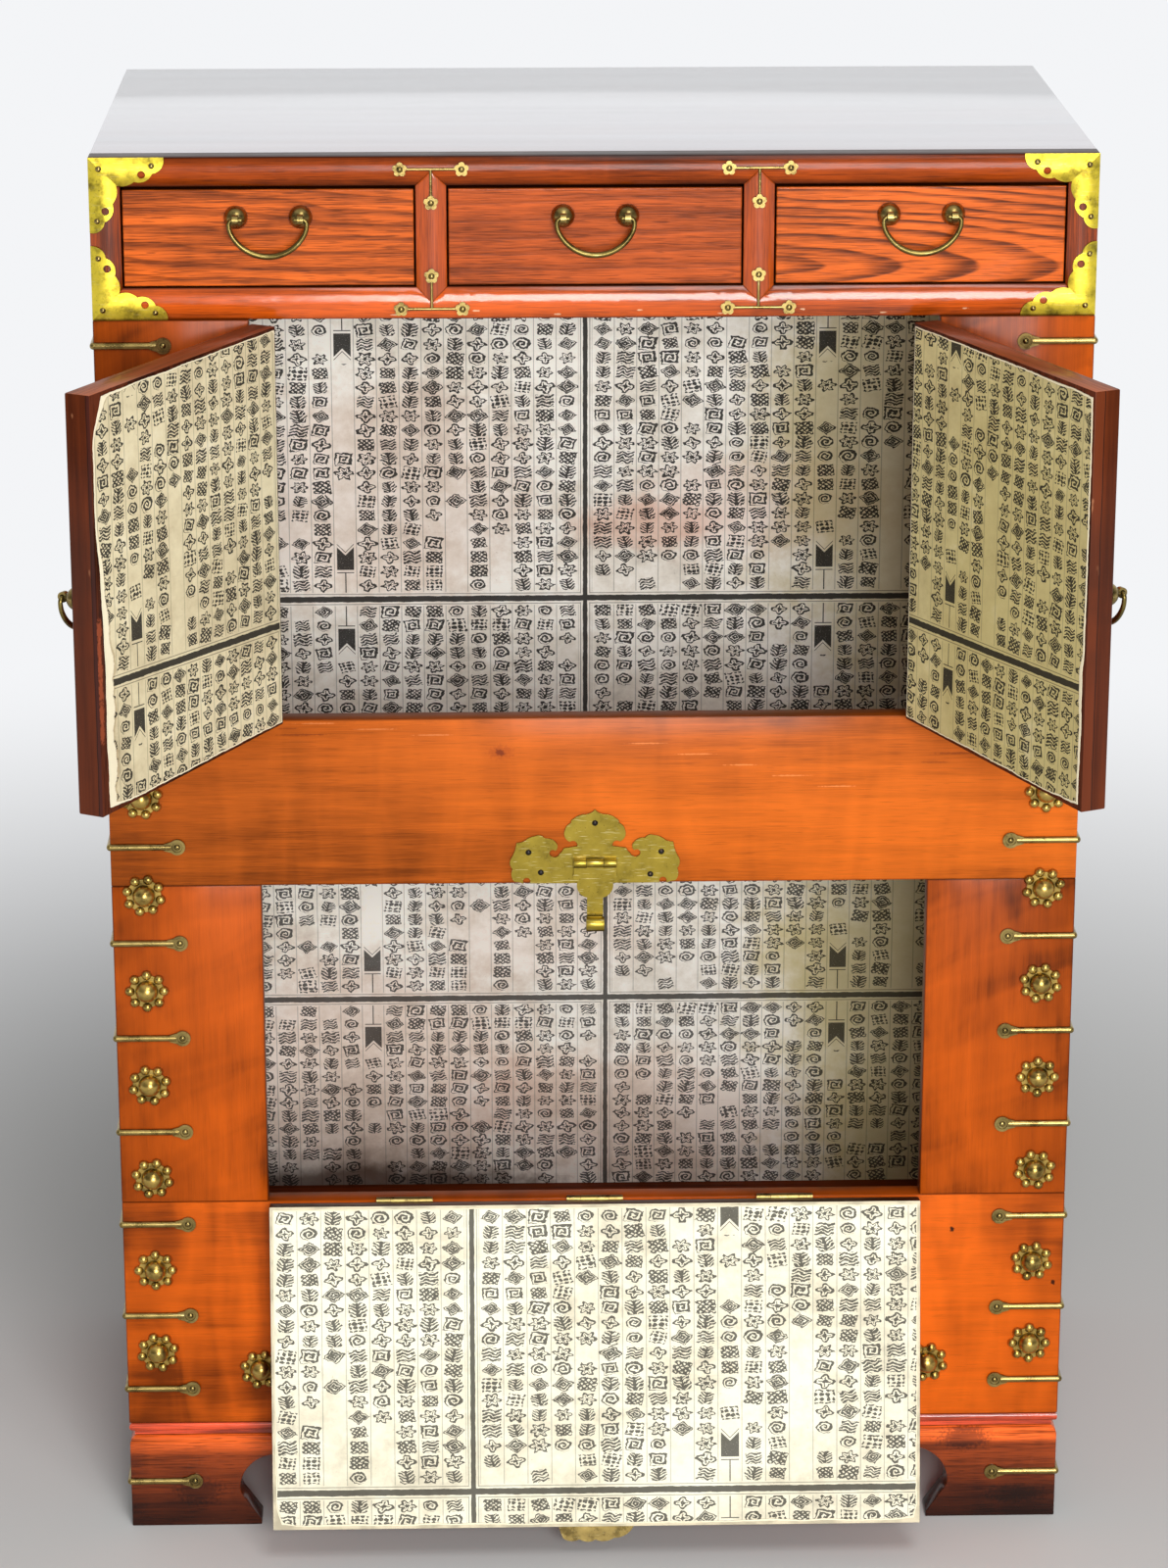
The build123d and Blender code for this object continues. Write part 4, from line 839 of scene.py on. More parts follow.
class CHEST_OT_carcass(PieceOperator):
    """Front boards, posts, side panels and top board"""

    bl_idname = "chest.carcass"
    bl_label = "Carcass boards"

    def build(self):
        tones = settings("wood")
        post = tuple(tones.post)
        self.board("mid_board", self.mid_board(tuple(tones.board)))
        for node, seed in (("upper_side_stiles", 2), ("lower_posts", 3)):
            self.board(node, self.posts(node, post, seed))
        self.board("bottom_board", self.bottom_board(scaled(post, 1.45)))
        side = wood(
            "side_lacquer", scaled(post, 1.1), "Z", seed=7, figure=0.7, grain=0.5, fibre=0.5, pores=0.15,
            rings=Rings(along=0.4, across=0.05, depth=0.12, slope=0.35, pitch=9.0), across="Y",
            ring_depth=0.45, gloss=0.34, coat=0.25,
        )
        for node in ("left_side_panel", "right_side_panel"):
            self.board(node, side)
        top = wood(
            "top_lacquer", tuple(tones.top), "X", seed=8, figure=0.7, grain=0.5, fibre=0.4, pores=0.15,
            rings=Rings(along=0.3, across=0.0, depth=0.16, slope=0.1, pitch=11.0), across="Y",
            ring_depth=0.3, gloss=0.26, coat=1.0, coat_index=1.7, bump=0.012, snug=0.0, glaze=0.82,
            shade=darker_front_rim,
        )
        self.board("top_board", top)
        back = wood(
            "back_panel_wood", scaled(tuple(tones.raw), 0.6), "Z", seed=9, figure=0.6, grain=0.5, fibre=0.6,
            gloss=0.6, coat=0.0, snug=0.0,
        )
        finish_node("back_panel", back)

    def board(self, node, material):
        eased_piece(node, material, settings("wood").edge_round)

    def mid_board(self, tone):
        """Calm wood with a knot, a few dark scratches and two rows of pale scratches, partly worn lacquer and
        partly painted glint, with painted shade towards the left.
        """
        dark = srgb(120, 50, 16)
        marks = [
            (-73, 655.5, 5, 3.5, 0.85, srgb(96, 36, 12)), (-73, 655.5, 12, 7, 0.35, srgb(150, 60, 20)),
            (-225, 671, 26, 1.0, 0.6, dark), (-236, 676, 12, 0.9, 0.5, dark),
            (282, 652, 22, 1.1, 0.6, dark), (262, 645, 12, 0.9, 0.45, dark),
        ]
        # Pale scratches that are partly worn lacquer and partly a painted glint.
        marks += [(40 + 37 * n, 662 - 9 * n, 17, 0.7, 0.5, srgb(244, 150, 84)) for n in range(5)]
        marks += [(-300 + 44 * n, 690 - 5 * n, 20, 0.7, 0.4, srgb(240, 150, 90)) for n in range(5)]
        low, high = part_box("mid_board")
        dirt = edge_dirt(z_edges=(low.z, high.z), width=1.8)
        return wood(
            "mid_board_lacquer", tone, "X", seed=1, figure=0.7, grain=0.4, fibre=0.4, pores=0.2, curls=0.35,
            gloss=0.34, coat=0.1, bump=0.02, grime=dirt, shade=painted_shade_left, marks=marks,
        )

    def posts(self, node, tone, seed):
        """Figured wood, dirty along both edges of both posts."""
        low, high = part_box(node)
        inner = inner_edge(node)
        dirt = edge_dirt(x_edges=(-inner, inner, low.x, high.x), z_edges=(low.z, high.z))
        return wood(
            node + "_lacquer", tone, "Z", seed=seed, figure=0.9, grain=0.4, fibre=0.3, pores=0.12, curls=0.8,
            slant=0.45, gloss=0.34, coat=0.1, bump=0.02, grime=dirt, shade=darker_out,
        )

    def bottom_board(self, tone):
        """Figured wood with two nail holes at the right."""
        low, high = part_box("bottom_board")
        dirt = edge_dirt(x_edges=(low.x, high.x), z_edges=(low.z, high.z))
        holes = [(285.7, 253.5, 2.6, 2.6, 0.95, BLACK), (368, 206.5, 2.4, 2.4, 0.9, BLACK)]
        return wood(
            "bottom_board_lacquer", tone, seed=5, figure=1.2, grain=0.34, fibre=0.3, pores=0.16, curls=0.9,
            gloss=0.34, coat=0.1, bump=0.02, grime=dirt, shade=darker_out, marks=holes,
        )


class CHEST_OT_inside(PieceOperator):
    """Bare boards inside the carcass"""

    bl_idname = "chest.inside"
    bl_label = "Inner boards"

    def build(self):
        tones = settings("wood")
        bare = wood("bare_wood", tuple(tones.raw), seed=11, gloss=0.62, coat=0.0)
        shelf = wood("shelf_wood", scaled(tuple(tones.rail), 0.6), seed=12, pores=0.2, gloss=0.5, coat=0.05)
        for node in ("drawer_deck", "drawer_partitions"):
            finish_node(node, bare)
        for node in ("compartment_divider", "lower_floor", "closing_stops"):
            finish_node(node, shelf)


def painted_crown_light(low, high, crown, edge):
    """Painted light on a moulding: a painted highlight along its crown and painted shade towards its edges."""

    def shade(finish, place):
        z = finish.parts(place)[2]
        off = abs(z - (low.z + high.z) / 2) / ((high.z - low.z) / 2)
        uneven = finish.noise(finish.mapped(place, (9.0, 9.0, 40.0)), detail=4)
        return finish.spread(finish.rise(off + (uneven - 0.5) * 0.9, 0.3, 1.05), crown, edge)

    return shade


class CHEST_OT_drawer_frame(PieceOperator):
    """Convex rails, end stiles and muntins round the drawers"""

    bl_idname = "chest.drawer_frame"
    bl_label = "Drawer frame"

    def build(self):
        rail = tuple(settings("wood").rail)
        top_low, top_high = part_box("top_rail")
        low_low, low_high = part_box("drawer_rail")
        flecks = [(-150 + 61 * n, low_low.z / MM + 3 + 3 * (n % 2), 3.0, 0.9, 0.7, PALE) for n in range(8)]
        top_dirt = edge_dirt(z_edges=(top_low.z, top_high.z), width=1.4, strength=0.7)
        low_dirt = edge_dirt(z_edges=(low_low.z, low_high.z), width=1.4, strength=0.7)
        # The top rail's darker tone is painted shade and the drawer rail's lighter tone painted light, both from
        # one rail lacquer; each rail's shade also paints a highlight along its crown.
        looks = {
            "top_rail": dict(tone=scaled(rail, 0.82), along="X", seed=14, coat=0.12, grime=top_dirt,
                             shade=painted_crown_light(top_low, top_high, crown=1.35, edge=0.5)),
            "drawer_rail": dict(tone=scaled(rail, 1.6), along="X", seed=15, coat=0.6, grime=low_dirt,
                                shade=painted_crown_light(low_low, low_high, crown=1.15, edge=0.85), marks=flecks),
            "drawer_end_stiles": dict(tone=scaled(rail, 1.2), along="Z", seed=16, coat=0.6),
            "drawer_muntins": dict(tone=scaled(rail, 1.3), along="Z", seed=17, coat=0.7),
        }
        for node, look in looks.items():
            finish = wood(
                node + "_lacquer", grain=0.7, gloss=0.3, coat_index=1.6, bump=0.02, snug=0.75, **look,
            )
            eased_piece(node, finish, settings("wood").frame_round)


class CHEST_OT_base(PieceOperator):
    """Bead and the four boards on cloud feet"""

    bl_idname = "chest.base"
    bl_label = "Base"

    def build(self):
        tones = settings("wood")
        _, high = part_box("base_front")

        def stain_shade_and_highlight(finish, place):
            """Darker towards the feet, partly a stain and partly painted shade, with a painted highlight along the
            rounded top edge, most at the right.
            """
            x, _, z = finish.parts(place)
            uneven = finish.noise(place, 14.0, detail=4)
            body = finish.spread(finish.rise(z + (uneven - 0.5) * 0.03, 0.0, high.z * 0.9), 0.12, 1.0)
            crown = finish.rise(z + (uneven - 0.5) * 0.006, high.z - 0.018, high.z - 0.006)
            return body + crown * finish.spread(finish.rise(x, 0.0, 0.3), 1.5, 2.6)

        dark_stain_and_shadow = srgb(30, 14, 10)
        # The dark patches low on the feet are partly a stain and partly painted shadow.
        marks = [
            (300, 70, 26, 12, 0.6, srgb(40, 16, 10)), (342, 20, 30, 10, 0.5, dark_stain_and_shadow),
            (-320, 30, 24, 14, 0.5, dark_stain_and_shadow), (338, 88, 3, 3, 0.9, BLACK), (338, 88, 9, 5, 0.5, PALE),
        ]
        for node, along, seed in (("base_front", "X", 20), ("base_back", "X", 21), ("base_sides", "Y", 22)):
            finish = wood(
                node + "_lacquer", tuple(tones.base), along, seed=seed, figure=1.2, pores=0.5, gloss=0.26,
                coat=0.35, coat_index=1.6, bump=0.06, shade=stain_shade_and_highlight, marks=marks,
            )
            eased_piece(node, finish, tones.edge_round)
        bead = wood(
            "bead_lacquer", srgb(226, 82, 44), seed=24, gloss=0.22, coat=0.8, coat_index=1.6, snug=0.8,
        )
        finish_node("base_bead", bead)


# ---- Drawers ----
class CHEST_OT_drawers(PieceOperator):
    """Three drawers: open-grained fronts and bare boxes"""

    bl_idname = "chest.drawers"
    bl_label = "Drawers"

    def build(self):
        tones = settings("wood")
        tone = tuple(tones.drawer)
        low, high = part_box("drawer_right_front")
        straight = Rings(along=-0.5, across=low.z - 0.09, depth=0.10, slope=0.05, pitch=7.5)
        wide = Rings(along=0.9, across=high.z + 0.10, depth=0.1, slope=0.05, pitch=12.0)
        arches = Rings(along=low.x - 0.035, across=low.z + 0.013, depth=0.0, slope=0.12, pitch=7.0)
        redder = mixed(scaled(tone, 0.98), srgb(150, 60, 30), 0.3)
        looks = {
            "left": dict(tone=scaled(tone, 1.25), rings=straight, pores=0.55, ring_depth=0.7, grain=0.85),
            "middle": dict(tone=redder, rings=wide, pores=0.45, ring_depth=0.45, grain=0.6),
            "right": dict(tone=scaled(tone, 1.24), rings=arches, pores=0.4, grain=0.6),
        }
        bare = wood(
            "drawer_box_wood", tuple(tones.raw), "Y", seed=31, pores=0.25, gloss=0.6, coat=0.0, snug=0.0,
        )
        for name, look in looks.items():
            finish = wood(
                name + "_drawer_lacquer", figure=0.9, fibre=1.3, gloss=0.33, bump=0.10, snug=0.85, **look,
            )
            finish_node(f"drawer_{name}_front", finish)
            finish_node(f"drawer_{name}_box", bare)


# ---- Doors ----
OUTER, INNER, UPRIGHT, LEVEL = range(4)
GRIP_Z = 0.842  # height at which hands have darkened the doors' edges


def zoned(node, laid):
    """A door whose faces carry the index of their finish: outer or inner side, upright or level edge."""
    shape = merged(node)
    turn = laid.to_3x3()
    for face in shape.faces:
        normal = turn @ face.normal
        flat = max(range(3), key=lambda axis: abs(normal[axis]))
        side = OUTER if normal.y < 0 else INNER
        face.material_index = (UPRIGHT, side, LEVEL)[flat]
    return shape


class CHEST_OT_doors(PieceOperator):
    """Both doors and the drop door"""

    bl_idname = "chest.doors"
    bl_label = "Doors"

    def build(self):
        tones = settings("wood")
        outer = wood(
            "door_lacquer", tuple(tones.post), "Z", seed=41, figure=0.9, grain=0.45, pores=0.2, coat=0.3,
            closed=True,
        )
        flakes = [(-4, 748 + 15 * n, 4, 11, 0.55, srgb(170, 84, 52)) for n in range(6)]
        flakes += [(-3, 1020 + 9 * n, 3, 5, 0.5, srgb(190, 112, 76)) for n in range(3)]
        inner = wood(
            "door_inner_wood", srgb(74, 32, 16), "Z", seed=42, figure=1.4, grain=1.4, pores=0.5, gloss=0.5,
            coat=0.1, bump=0.08, snug=0.8, marks=flakes, closed=True,
        )

        def paler_at_free_end(finish, place):
            x = abs(finish.parts(place)[0]) + (finish.noise(place, 40.0) - 0.5) * 0.06
            return finish.spread(finish.rise(x, 0.01, 0.10), 1.5, 0.85)

        level = wood(
            "door_end_wood", srgb(128, 68, 40), seed=43, figure=1.4, pores=0.4, coat=0.3,
            shade=paler_at_free_end, closed=True,
        )
        left_edge = self.edge("left_door", 0.86, srgb(60, 26, 22))
        right_edge = self.edge("right_door", 0.60, srgb(104, 46, 20))
        self.door("left_door", [outer, inner, left_edge, level])
        self.door("right_door", [outer, inner, right_edge, level])
        dark = srgb(84, 38, 20)
        cream = paper_wrap("wrapped_paper", srgb(226, 214, 184))
        dark_level = wood(
            "drop_door_end_wood", dark, seed=44, figure=1.2, pores=0.4, coat=0.3, closed=True,
        )
        self.door("drop_door", [outer, cream, self.edge("drop_door", 0.5, dark), dark_level])

    def door(self, node, finishes):
        laid = closing(node)
        shape = ease(zoned(node, laid), settings("wood").edge_round)
        add_piece("worn_" + node, node, shape, finishes, laid)

    def edge(self, node, split, strip):
        """Two layers with a dark line between them. split is the outer layer's share of the thickness."""
        laid = closing(node)
        depths = [(laid @ v.co).y for v in frame["nodes"][node].data.vertices]
        line = min(depths) + (max(depths) - min(depths)) * split
        tone = tuple(settings("wood").edge)
        fixed = {"Coat Roughness": 0.14, "Coat Weight": 0.15, "Specular IOR Level": 0.12}
        finish = Finish(node + "_edge_lacquer", fixed)
        place = finish.laid()
        _, y, z = finish.parts(place)
        streak = finish.noise(finish.mapped(place, (120.0, 120.0, 5.0)), detail=5, roughness=0.66)
        cloud = finish.noise(place, 11.0, detail=4)
        stops = [
            (0.34, scaled(tone, 0.4)),
            (0.5, tone),
            (0.62, scaled(tone, 1.5)),
            (0.72, srgb(170, 100, 66)),
        ]
        skin = finish.ramp(streak * 0.6 + cloud * 0.4, stops)
        waver = (finish.noise(place, 30.0) - 0.5) * 0.0016
        inner = finish.rise(y + waver, line - 0.2 * MM, line + 0.3 * MM)
        skin = finish.mix(inner * 0.75, skin, strip)
        seam = 1.0 - finish.rise(abs(y + waver - line), 0.15 * MM, 0.55 * MM)
        skin = finish.mix(seam * 0.85, skin, BLACK)
        chip = finish.rise(finish.noise(finish.mapped(place, (60.0, 60.0, 26.0)), detail=3), 0.68, 0.72)
        skin = finish.mix(chip * 0.6, skin, srgb(196, 132, 92))
        grip = 1.0 - finish.rise(abs(z - GRIP_Z), 0.02, 0.10)
        skin = finish.mix(grip * finish.rise(cloud, 0.42, 0.6) * 0.45, skin, BLACK)
        finish.give(Base_Color=skin, Roughness=finish.spread(cloud, 0.24, 0.44))
        return finish.relief(streak, 0.05).material


def paper_wrap(name, tone):
    """Plain paper turned over an edge."""
    finish = Finish(name, {"Roughness": 0.86, "Specular IOR Level": 0.2})
    blotch = finish.noise(finish.laid(), 60.0, detail=4)
    finish.give(Base_Color=finish.ramp(blotch, [(0.35, scaled(tone, 0.7)), (0.55, tone)]))
    return finish.relief(blotch, 0.1).material


# ---- Linings ----
PINK = srgb(220, 160, 132)
SHEET_CELL = 3.0 * MM
SIDES = ("left", "right", "bottom", "top")
FLAT_BORDER = [(0.0, 0.2, 0.4), (1.0, 0.2, 0.4)]


def between_stops(stops, share):
    """Inset and tear width at a share of a border, in millimetres, from stops of (share, inset, width)."""
    for (low, *first), (high, *last) in zip(stops, stops[1:]):
        if share <= high:
            part = (share - low) / (high - low)
            return [a + (b - a) * part for a, b in zip(first, last)]
    return stops[-1][1:]


def torn_sheet(node, laid, borders, seed):
    """A lining as a sheet with torn borders, as it lies closed. borders gives the stops of each side."""
    corners = [laid @ v.co for v in frame["nodes"][node].data.vertices]
    low = Vector(min(c[axis] for c in corners) for axis in range(3))
    high = Vector(max(c[axis] for c in corners) for axis in range(3))
    size = high - low

    def border(side, share, run):
        inset, tear = between_stops(borders[side], share)
        coarse = noise.noise(Vector((run * 40.0, seed * 3.7, SIDES.index(side) * 9.1)))
        fine = noise.noise(Vector((run * 260.0, seed * 5.3, SIDES.index(side) * 4.7)))
        ragged = max(0.0, inset + coarse * min(inset, 1.6) + fine * 0.45 + 0.1)
        return ragged * MM, max(0.15, tear * (1.0 + coarse * 0.5)) * MM

    shape = bmesh.new()
    bmesh.ops.create_grid(
        shape, x_segments=round(size.x / SHEET_CELL), y_segments=round(size.z / SHEET_CELL), size=0.5
    )
    rim_of = {}
    for vertex in shape.verts:
        across = vertex.co.x + 0.5
        up = vertex.co.y + 0.5
        left, left_tear = border("left", up, low.z + size.z * up)
        right, right_tear = border("right", up, low.z + size.z * up)
        bottom, bottom_tear = border("bottom", across, low.x + size.x * across)
        top, top_tear = border("top", across, low.x + size.x * across)
        x = low.x + left + (size.x - left - right) * across
        z = low.z + bottom + (size.z - bottom - top) * up
        vertex.co = (x, high.y, z)
        rim_of[vertex] = min(
            (x - low.x - left) / left_tear, (high.x - right - x) / right_tear,
            (z - low.z - bottom) / bottom_tear, (high.z - top - z) / top_tear,
        )
    sheet = shape.loops.layers.uv.new("sheet")
    rim = shape.loops.layers.uv.new("rim")
    for face in shape.faces:
        for loop in face.loops:
            loop[rim].uv = (min(rim_of[loop.vert], 4.0), 0.0)
    thick = bmesh.ops.extrude_face_region(shape, geom=shape.faces[:] + shape.edges[:] + shape.verts[:])
    pushed = [g for g in thick["geom"] if isinstance(g, bmesh.types.BMVert)]
    bmesh.ops.translate(shape, vec=(0.0, -size.y, 0.0), verts=pushed)
    bmesh.ops.recalc_face_normals(shape, faces=shape.faces)
    return shape, sheet


class CHEST_OT_linings(PieceOperator):
    """Printed paper on the compartments and the inside of the doors"""

    bl_idname = "chest.linings"
    bl_label = "Paper linings"

    def build(self):
        tone = tuple(settings("paper").tone)
        self.walls()
        self.left_door(scaled(tone, 0.98))
        self.right_door(mixed(tone, srgb(206, 190, 118), 0.62))
        self.drop_door(mixed(tone, srgb(254, 250, 228), 0.85))

    def walls(self):
        """Both compartments. Their paper is stained pink and yellowed at the right. Its brown patches are painted
        shade along the top and the left edge of the upper one, and partly a stain and partly painted shadow at the
        lower left of the lower one. It is lighter at the left and darker at the right as painted light and shade.
        """
        brown_shade_and_stain = srgb(66, 40, 24)
        straw = srgb(214, 198, 132)

        # Painted light at the left and painted shade towards the right.
        def painted_shade_right(finish, u):
            return finish.spread(finish.rise(u, -0.05, 0.34), 1.08, 0.96)

        stains = [
            (-190, 90, 200, 130, 0.18, PINK), (150, 80, 150, 60, 0.25, PINK), (60, 66, 90, 26, 0.4, PINK),
            (300, 120, 190, 330, 0.6, straw),
            # Painted shade along the left edge and along the top, under the rail.
            (-335, 0, 60, 400, 0.3, brown_shade_and_stain), (0, 345, 600, 50, 0.45, brown_shade_and_stain),
        ]
        paper = paper_finish("upper_paper", srgb(250, 247, 238), stains, seed=1, shade_across_sheet=painted_shade_right)
        self.wall("upper_lining", paper, band_x=3.3 * MM, band_z=665.8 * MM)
        stains = [
            (-220, -70, 200, 150, 0.25, PINK), (30, -110, 220, 80, 0.25, PINK),
            (-60, 60, 120, 60, 0.15, PINK), (320, 0, 240, 300, 0.75, straw),
            # Partly a stain and partly painted shadow at the lower left.
            (-250, -178, 290, 48, 0.35, brown_shade_and_stain), (-270, -178, 300, 27, 0.8, brown_shade_and_stain),
        ]
        paper = paper_finish(
            "lower_paper", srgb(254, 250, 240), stains, seed=2, shade_across_sheet=painted_shade_right, inked=0.88
        )
        self.wall("lower_lining", paper, band_x=21.0 * MM, band_z=302.0 * MM)

    def wall(self, node, material, band_x, band_z):
        """Back and side walls of a compartment. The print runs on round the corners."""
        shape = merged(node)
        layer = shape.loops.layers.uv.new("sheet")
        _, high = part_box(node)
        for face in shape.faces:
            on_side = abs(face.normal.x) > 0.5
            for loop in face.loops:
                co = loop.vert.co
                run = (high.y - co.y) * (1 if co.x > 0 else -1) if on_side else 0.0
                loop[layer].uv = (co.x + run - band_x, co.z - band_z)
        add_piece("paper_" + node, node, shape, [material])

    def left_door(self, tone):
        """Torn off along the lower half of its free end and at the corner above."""
        borders = {
            "left": FLAT_BORDER,
            "right": [
                (0.0, 8.0, 9.0), (0.13, 7.0, 11.0), (0.45, 7.2, 9.0), (0.53, 5.0, 5.0), (0.6, 3.0, 3.0),
                (0.72, 0.3, 1.6), (0.88, 0.5, 1.2), (0.92, 3.0, 2.0), (0.96, 8.0, 5.0), (1.0, 13.0, 8.0),
            ],
            "bottom": [(0.0, 0.4, 0.8), (0.9, 0.8, 1.4), (1.0, 3.0, 2.0)],
            "top": [(0.0, 0.4, 0.8), (0.8, 0.6, 1.0), (1.0, 1.2, 2.4)],
        }
        stains = [(-120, 120, 120, 60, 0.2, PINK)]
        paper = paper_finish("left_door_paper", tone, stains, seed=3, torn=True)
        on_sheet = self.slanted(fishtail_x=-53.0 * MM, band_z=778.0 * MM, slope=0.072)
        self.lay("left_door_lining", borders, 1, on_sheet, paper)

    def right_door(self, tone):
        borders = {
            "left": [
                (0.0, 3.0, 1.8), (0.1, 1.6, 1.4), (0.3, 1.4, 2.6), (0.34, 3.0, 4.0), (0.38, 1.2, 1.8),
                (0.7, 0.4, 1.0), (1.0, 1.0, 1.4),
            ],
            "right": FLAT_BORDER,
            "bottom": [(0.0, 2.4, 1.8), (0.2, 0.8, 1.0), (1.0, 0.5, 0.8)],
            "top": [(0.0, 1.6, 1.4), (0.4, 0.5, 1.0), (1.0, 0.4, 0.8)],
        }
        stains = [(300, 0, 160, 300, 0.35, srgb(186, 170, 100))]
        paper = paper_finish("right_door_paper", tone, stains, seed=4, torn=True)
        on_sheet = self.slanted(fishtail_x=194.5 * MM, band_z=767.0 * MM, slope=-0.048)
        self.lay("right_door_lining", borders, 2, on_sheet, paper)

    def drop_door(self, tone):
        """Its print stands on its head when the door is closed."""
        borders = {
            "left": [(0.0, 0.6, 0.8), (0.5, 0.2, 0.6), (0.94, 0.6, 1.0), (1.0, 5.0, 1.4)],
            "right": [(0.0, 0.6, 0.8), (0.5, 0.3, 0.6), (0.96, 0.6, 1.0), (1.0, 3.0, 1.4)],
            "bottom": [(0.0, 0.4, 0.6), (1.0, 0.4, 0.6)],
            "top": [(0.0, 2.4, 1.2), (0.06, 0.9, 1.4), (0.5, 0.6, 1.2), (0.97, 0.9, 1.4), (1.0, 2.0, 1.2)],
        }
        paper = paper_finish("drop_door_paper", tone, seed=5, torn=True, inked=0.86)
        band_x = -98.0 * MM
        band_z = 515.7 * MM

        def on_sheet(x, z):
            return x - band_x, band_z - z

        self.lay("drop_door_lining", borders, 3, on_sheet, paper)

    def slanted(self, fishtail_x, band_z, slope):
        """The print of a side door, as it lies closed. Its rows rise by this slope and run towards -X."""
        half_page = settings("paper").page_width / 2

        def on_sheet(x, z):
            across = x - fishtail_x
            return half_page - across, z - band_z - across * slope

        return on_sheet

    def lay(self, node, borders, seed, on_sheet, material):
        """A torn sheet on an open door, printed as it lies on the closed door."""
        laid = closing(node)
        shape, layer = torn_sheet(node, laid, borders, seed)
        for face in shape.faces:
            for loop in face.loops:
                loop[layer].uv = on_sheet(loop.vert.co.x, loop.vert.co.z)
        bmesh.ops.transform(shape, matrix=laid.inverted(), verts=shape.verts)
        add_piece("paper_" + node, node, shape, [material])


# ---- Hardware ----
THINNER_END = -0.25 * MM  # what a bail's rod gains in radius at its ends
THICKER_MIDDLE = 0.45 * MM


def tapered_bail(node, axis_z):
    """A bail whose rod is thin at its ends and thickest at its lowest point."""
    shape = merged(node)
    shape.normal_update()
    low = min(v.co.z for v in shape.verts)
    for vertex in shape.verts:
        hang = min(1.0, max(0.0, (axis_z - vertex.co.z) / (axis_z - low)))
        vertex.co += vertex.normal * (THINNER_END + (THICKER_MIDDLE - THINNER_END) * hang)
    return shape


class CHEST_OT_hardware(PieceOperator):
    """Brass plates, braces, straps, studs, pulls, hinges and the hasp"""

    bl_idname = "chest.hardware"
    bl_label = "Hardware"

    def build(self):
        tones = settings("brass")
        bright = brass("polished_brass", tuple(tones.bright), 1, rough=0.42, tarnish=0.45, scratches=0.3)
        aged = brass("aged_brass", tuple(tones.aged), 2, rough=0.27, tarnish=0.5, scratches=0.25)
        pull = brass("pull_brass", tuple(tones.pull), 4, rough=0.3, tarnish=0.5, scratches=0.25)
        stud = brass("stud_brass", tuple(tones.stud), 5, rough=0.28, tarnish=0.6, scratches=0.2)
        # The hasp's wider reach paints a dark shadow round its leaf.
        hasp = brass(
            "hasp_brass", tuple(tones.hasp), 3, rough=0.3, tarnish=0.5, scratches=0.6, dirt_and_shade_reach=3.5,
            cloudy=0.55,
        )
        nail = iron("nail_iron", tuple(tones.iron))
        finish_node("corner_plates", bright)
        finish_node("flower_studs", stud)
        leaves = [owner + "_hinge_leaves" for owner in ("carcass", "left_door", "right_door", "drop_door")]
        for node in ("tee_braces", "corner_straps", "lock_plate", *leaves):
            finish_node(node, aged)
        for owner in ("drawer_left", "drawer_middle", "drawer_right", "left_door", "right_door"):
            finish_node(owner + "_pull_posts", aged)
            node = owner + "_bail"
            hinge_z = JOINTS[node + "_hinge"]["pos_m"][2]
            add_piece("tapered_" + node, node, tapered_bail(node, hinge_z), [pull])
        eased_piece("hasp_plate", hasp, tones.edge_round)
        eased_piece("hasp_leaf", hasp, tones.edge_round)
        self.nails(aged, nail)
        for node in ("hinge_pins", "hasp_pin"):
            finish_node(node, nail)

    def nails(self, aged, nail):
        """The nails of the hasp are iron, the others brass."""
        shape = merged("dome_nails")
        low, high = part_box("hasp_plate")
        for face in shape.faces:
            x, _, z = face.calc_center_median()
            face.material_index = int(low.x < x < high.x and low.z < z < high.z)
        add_piece("nail_heads", "dome_nails", shape, [aged, nail])


# ---- Stage ----
CAMERA_PLACE = (-0.097, -3.570, 1.708)
CAMERA_DOWN = radians(17.79)  # below level
CAMERA_RIGHT = radians(1.51)  # of straight on
SENSOR_HEIGHT = 36.0
FLOOR_RADIUS = 40.0


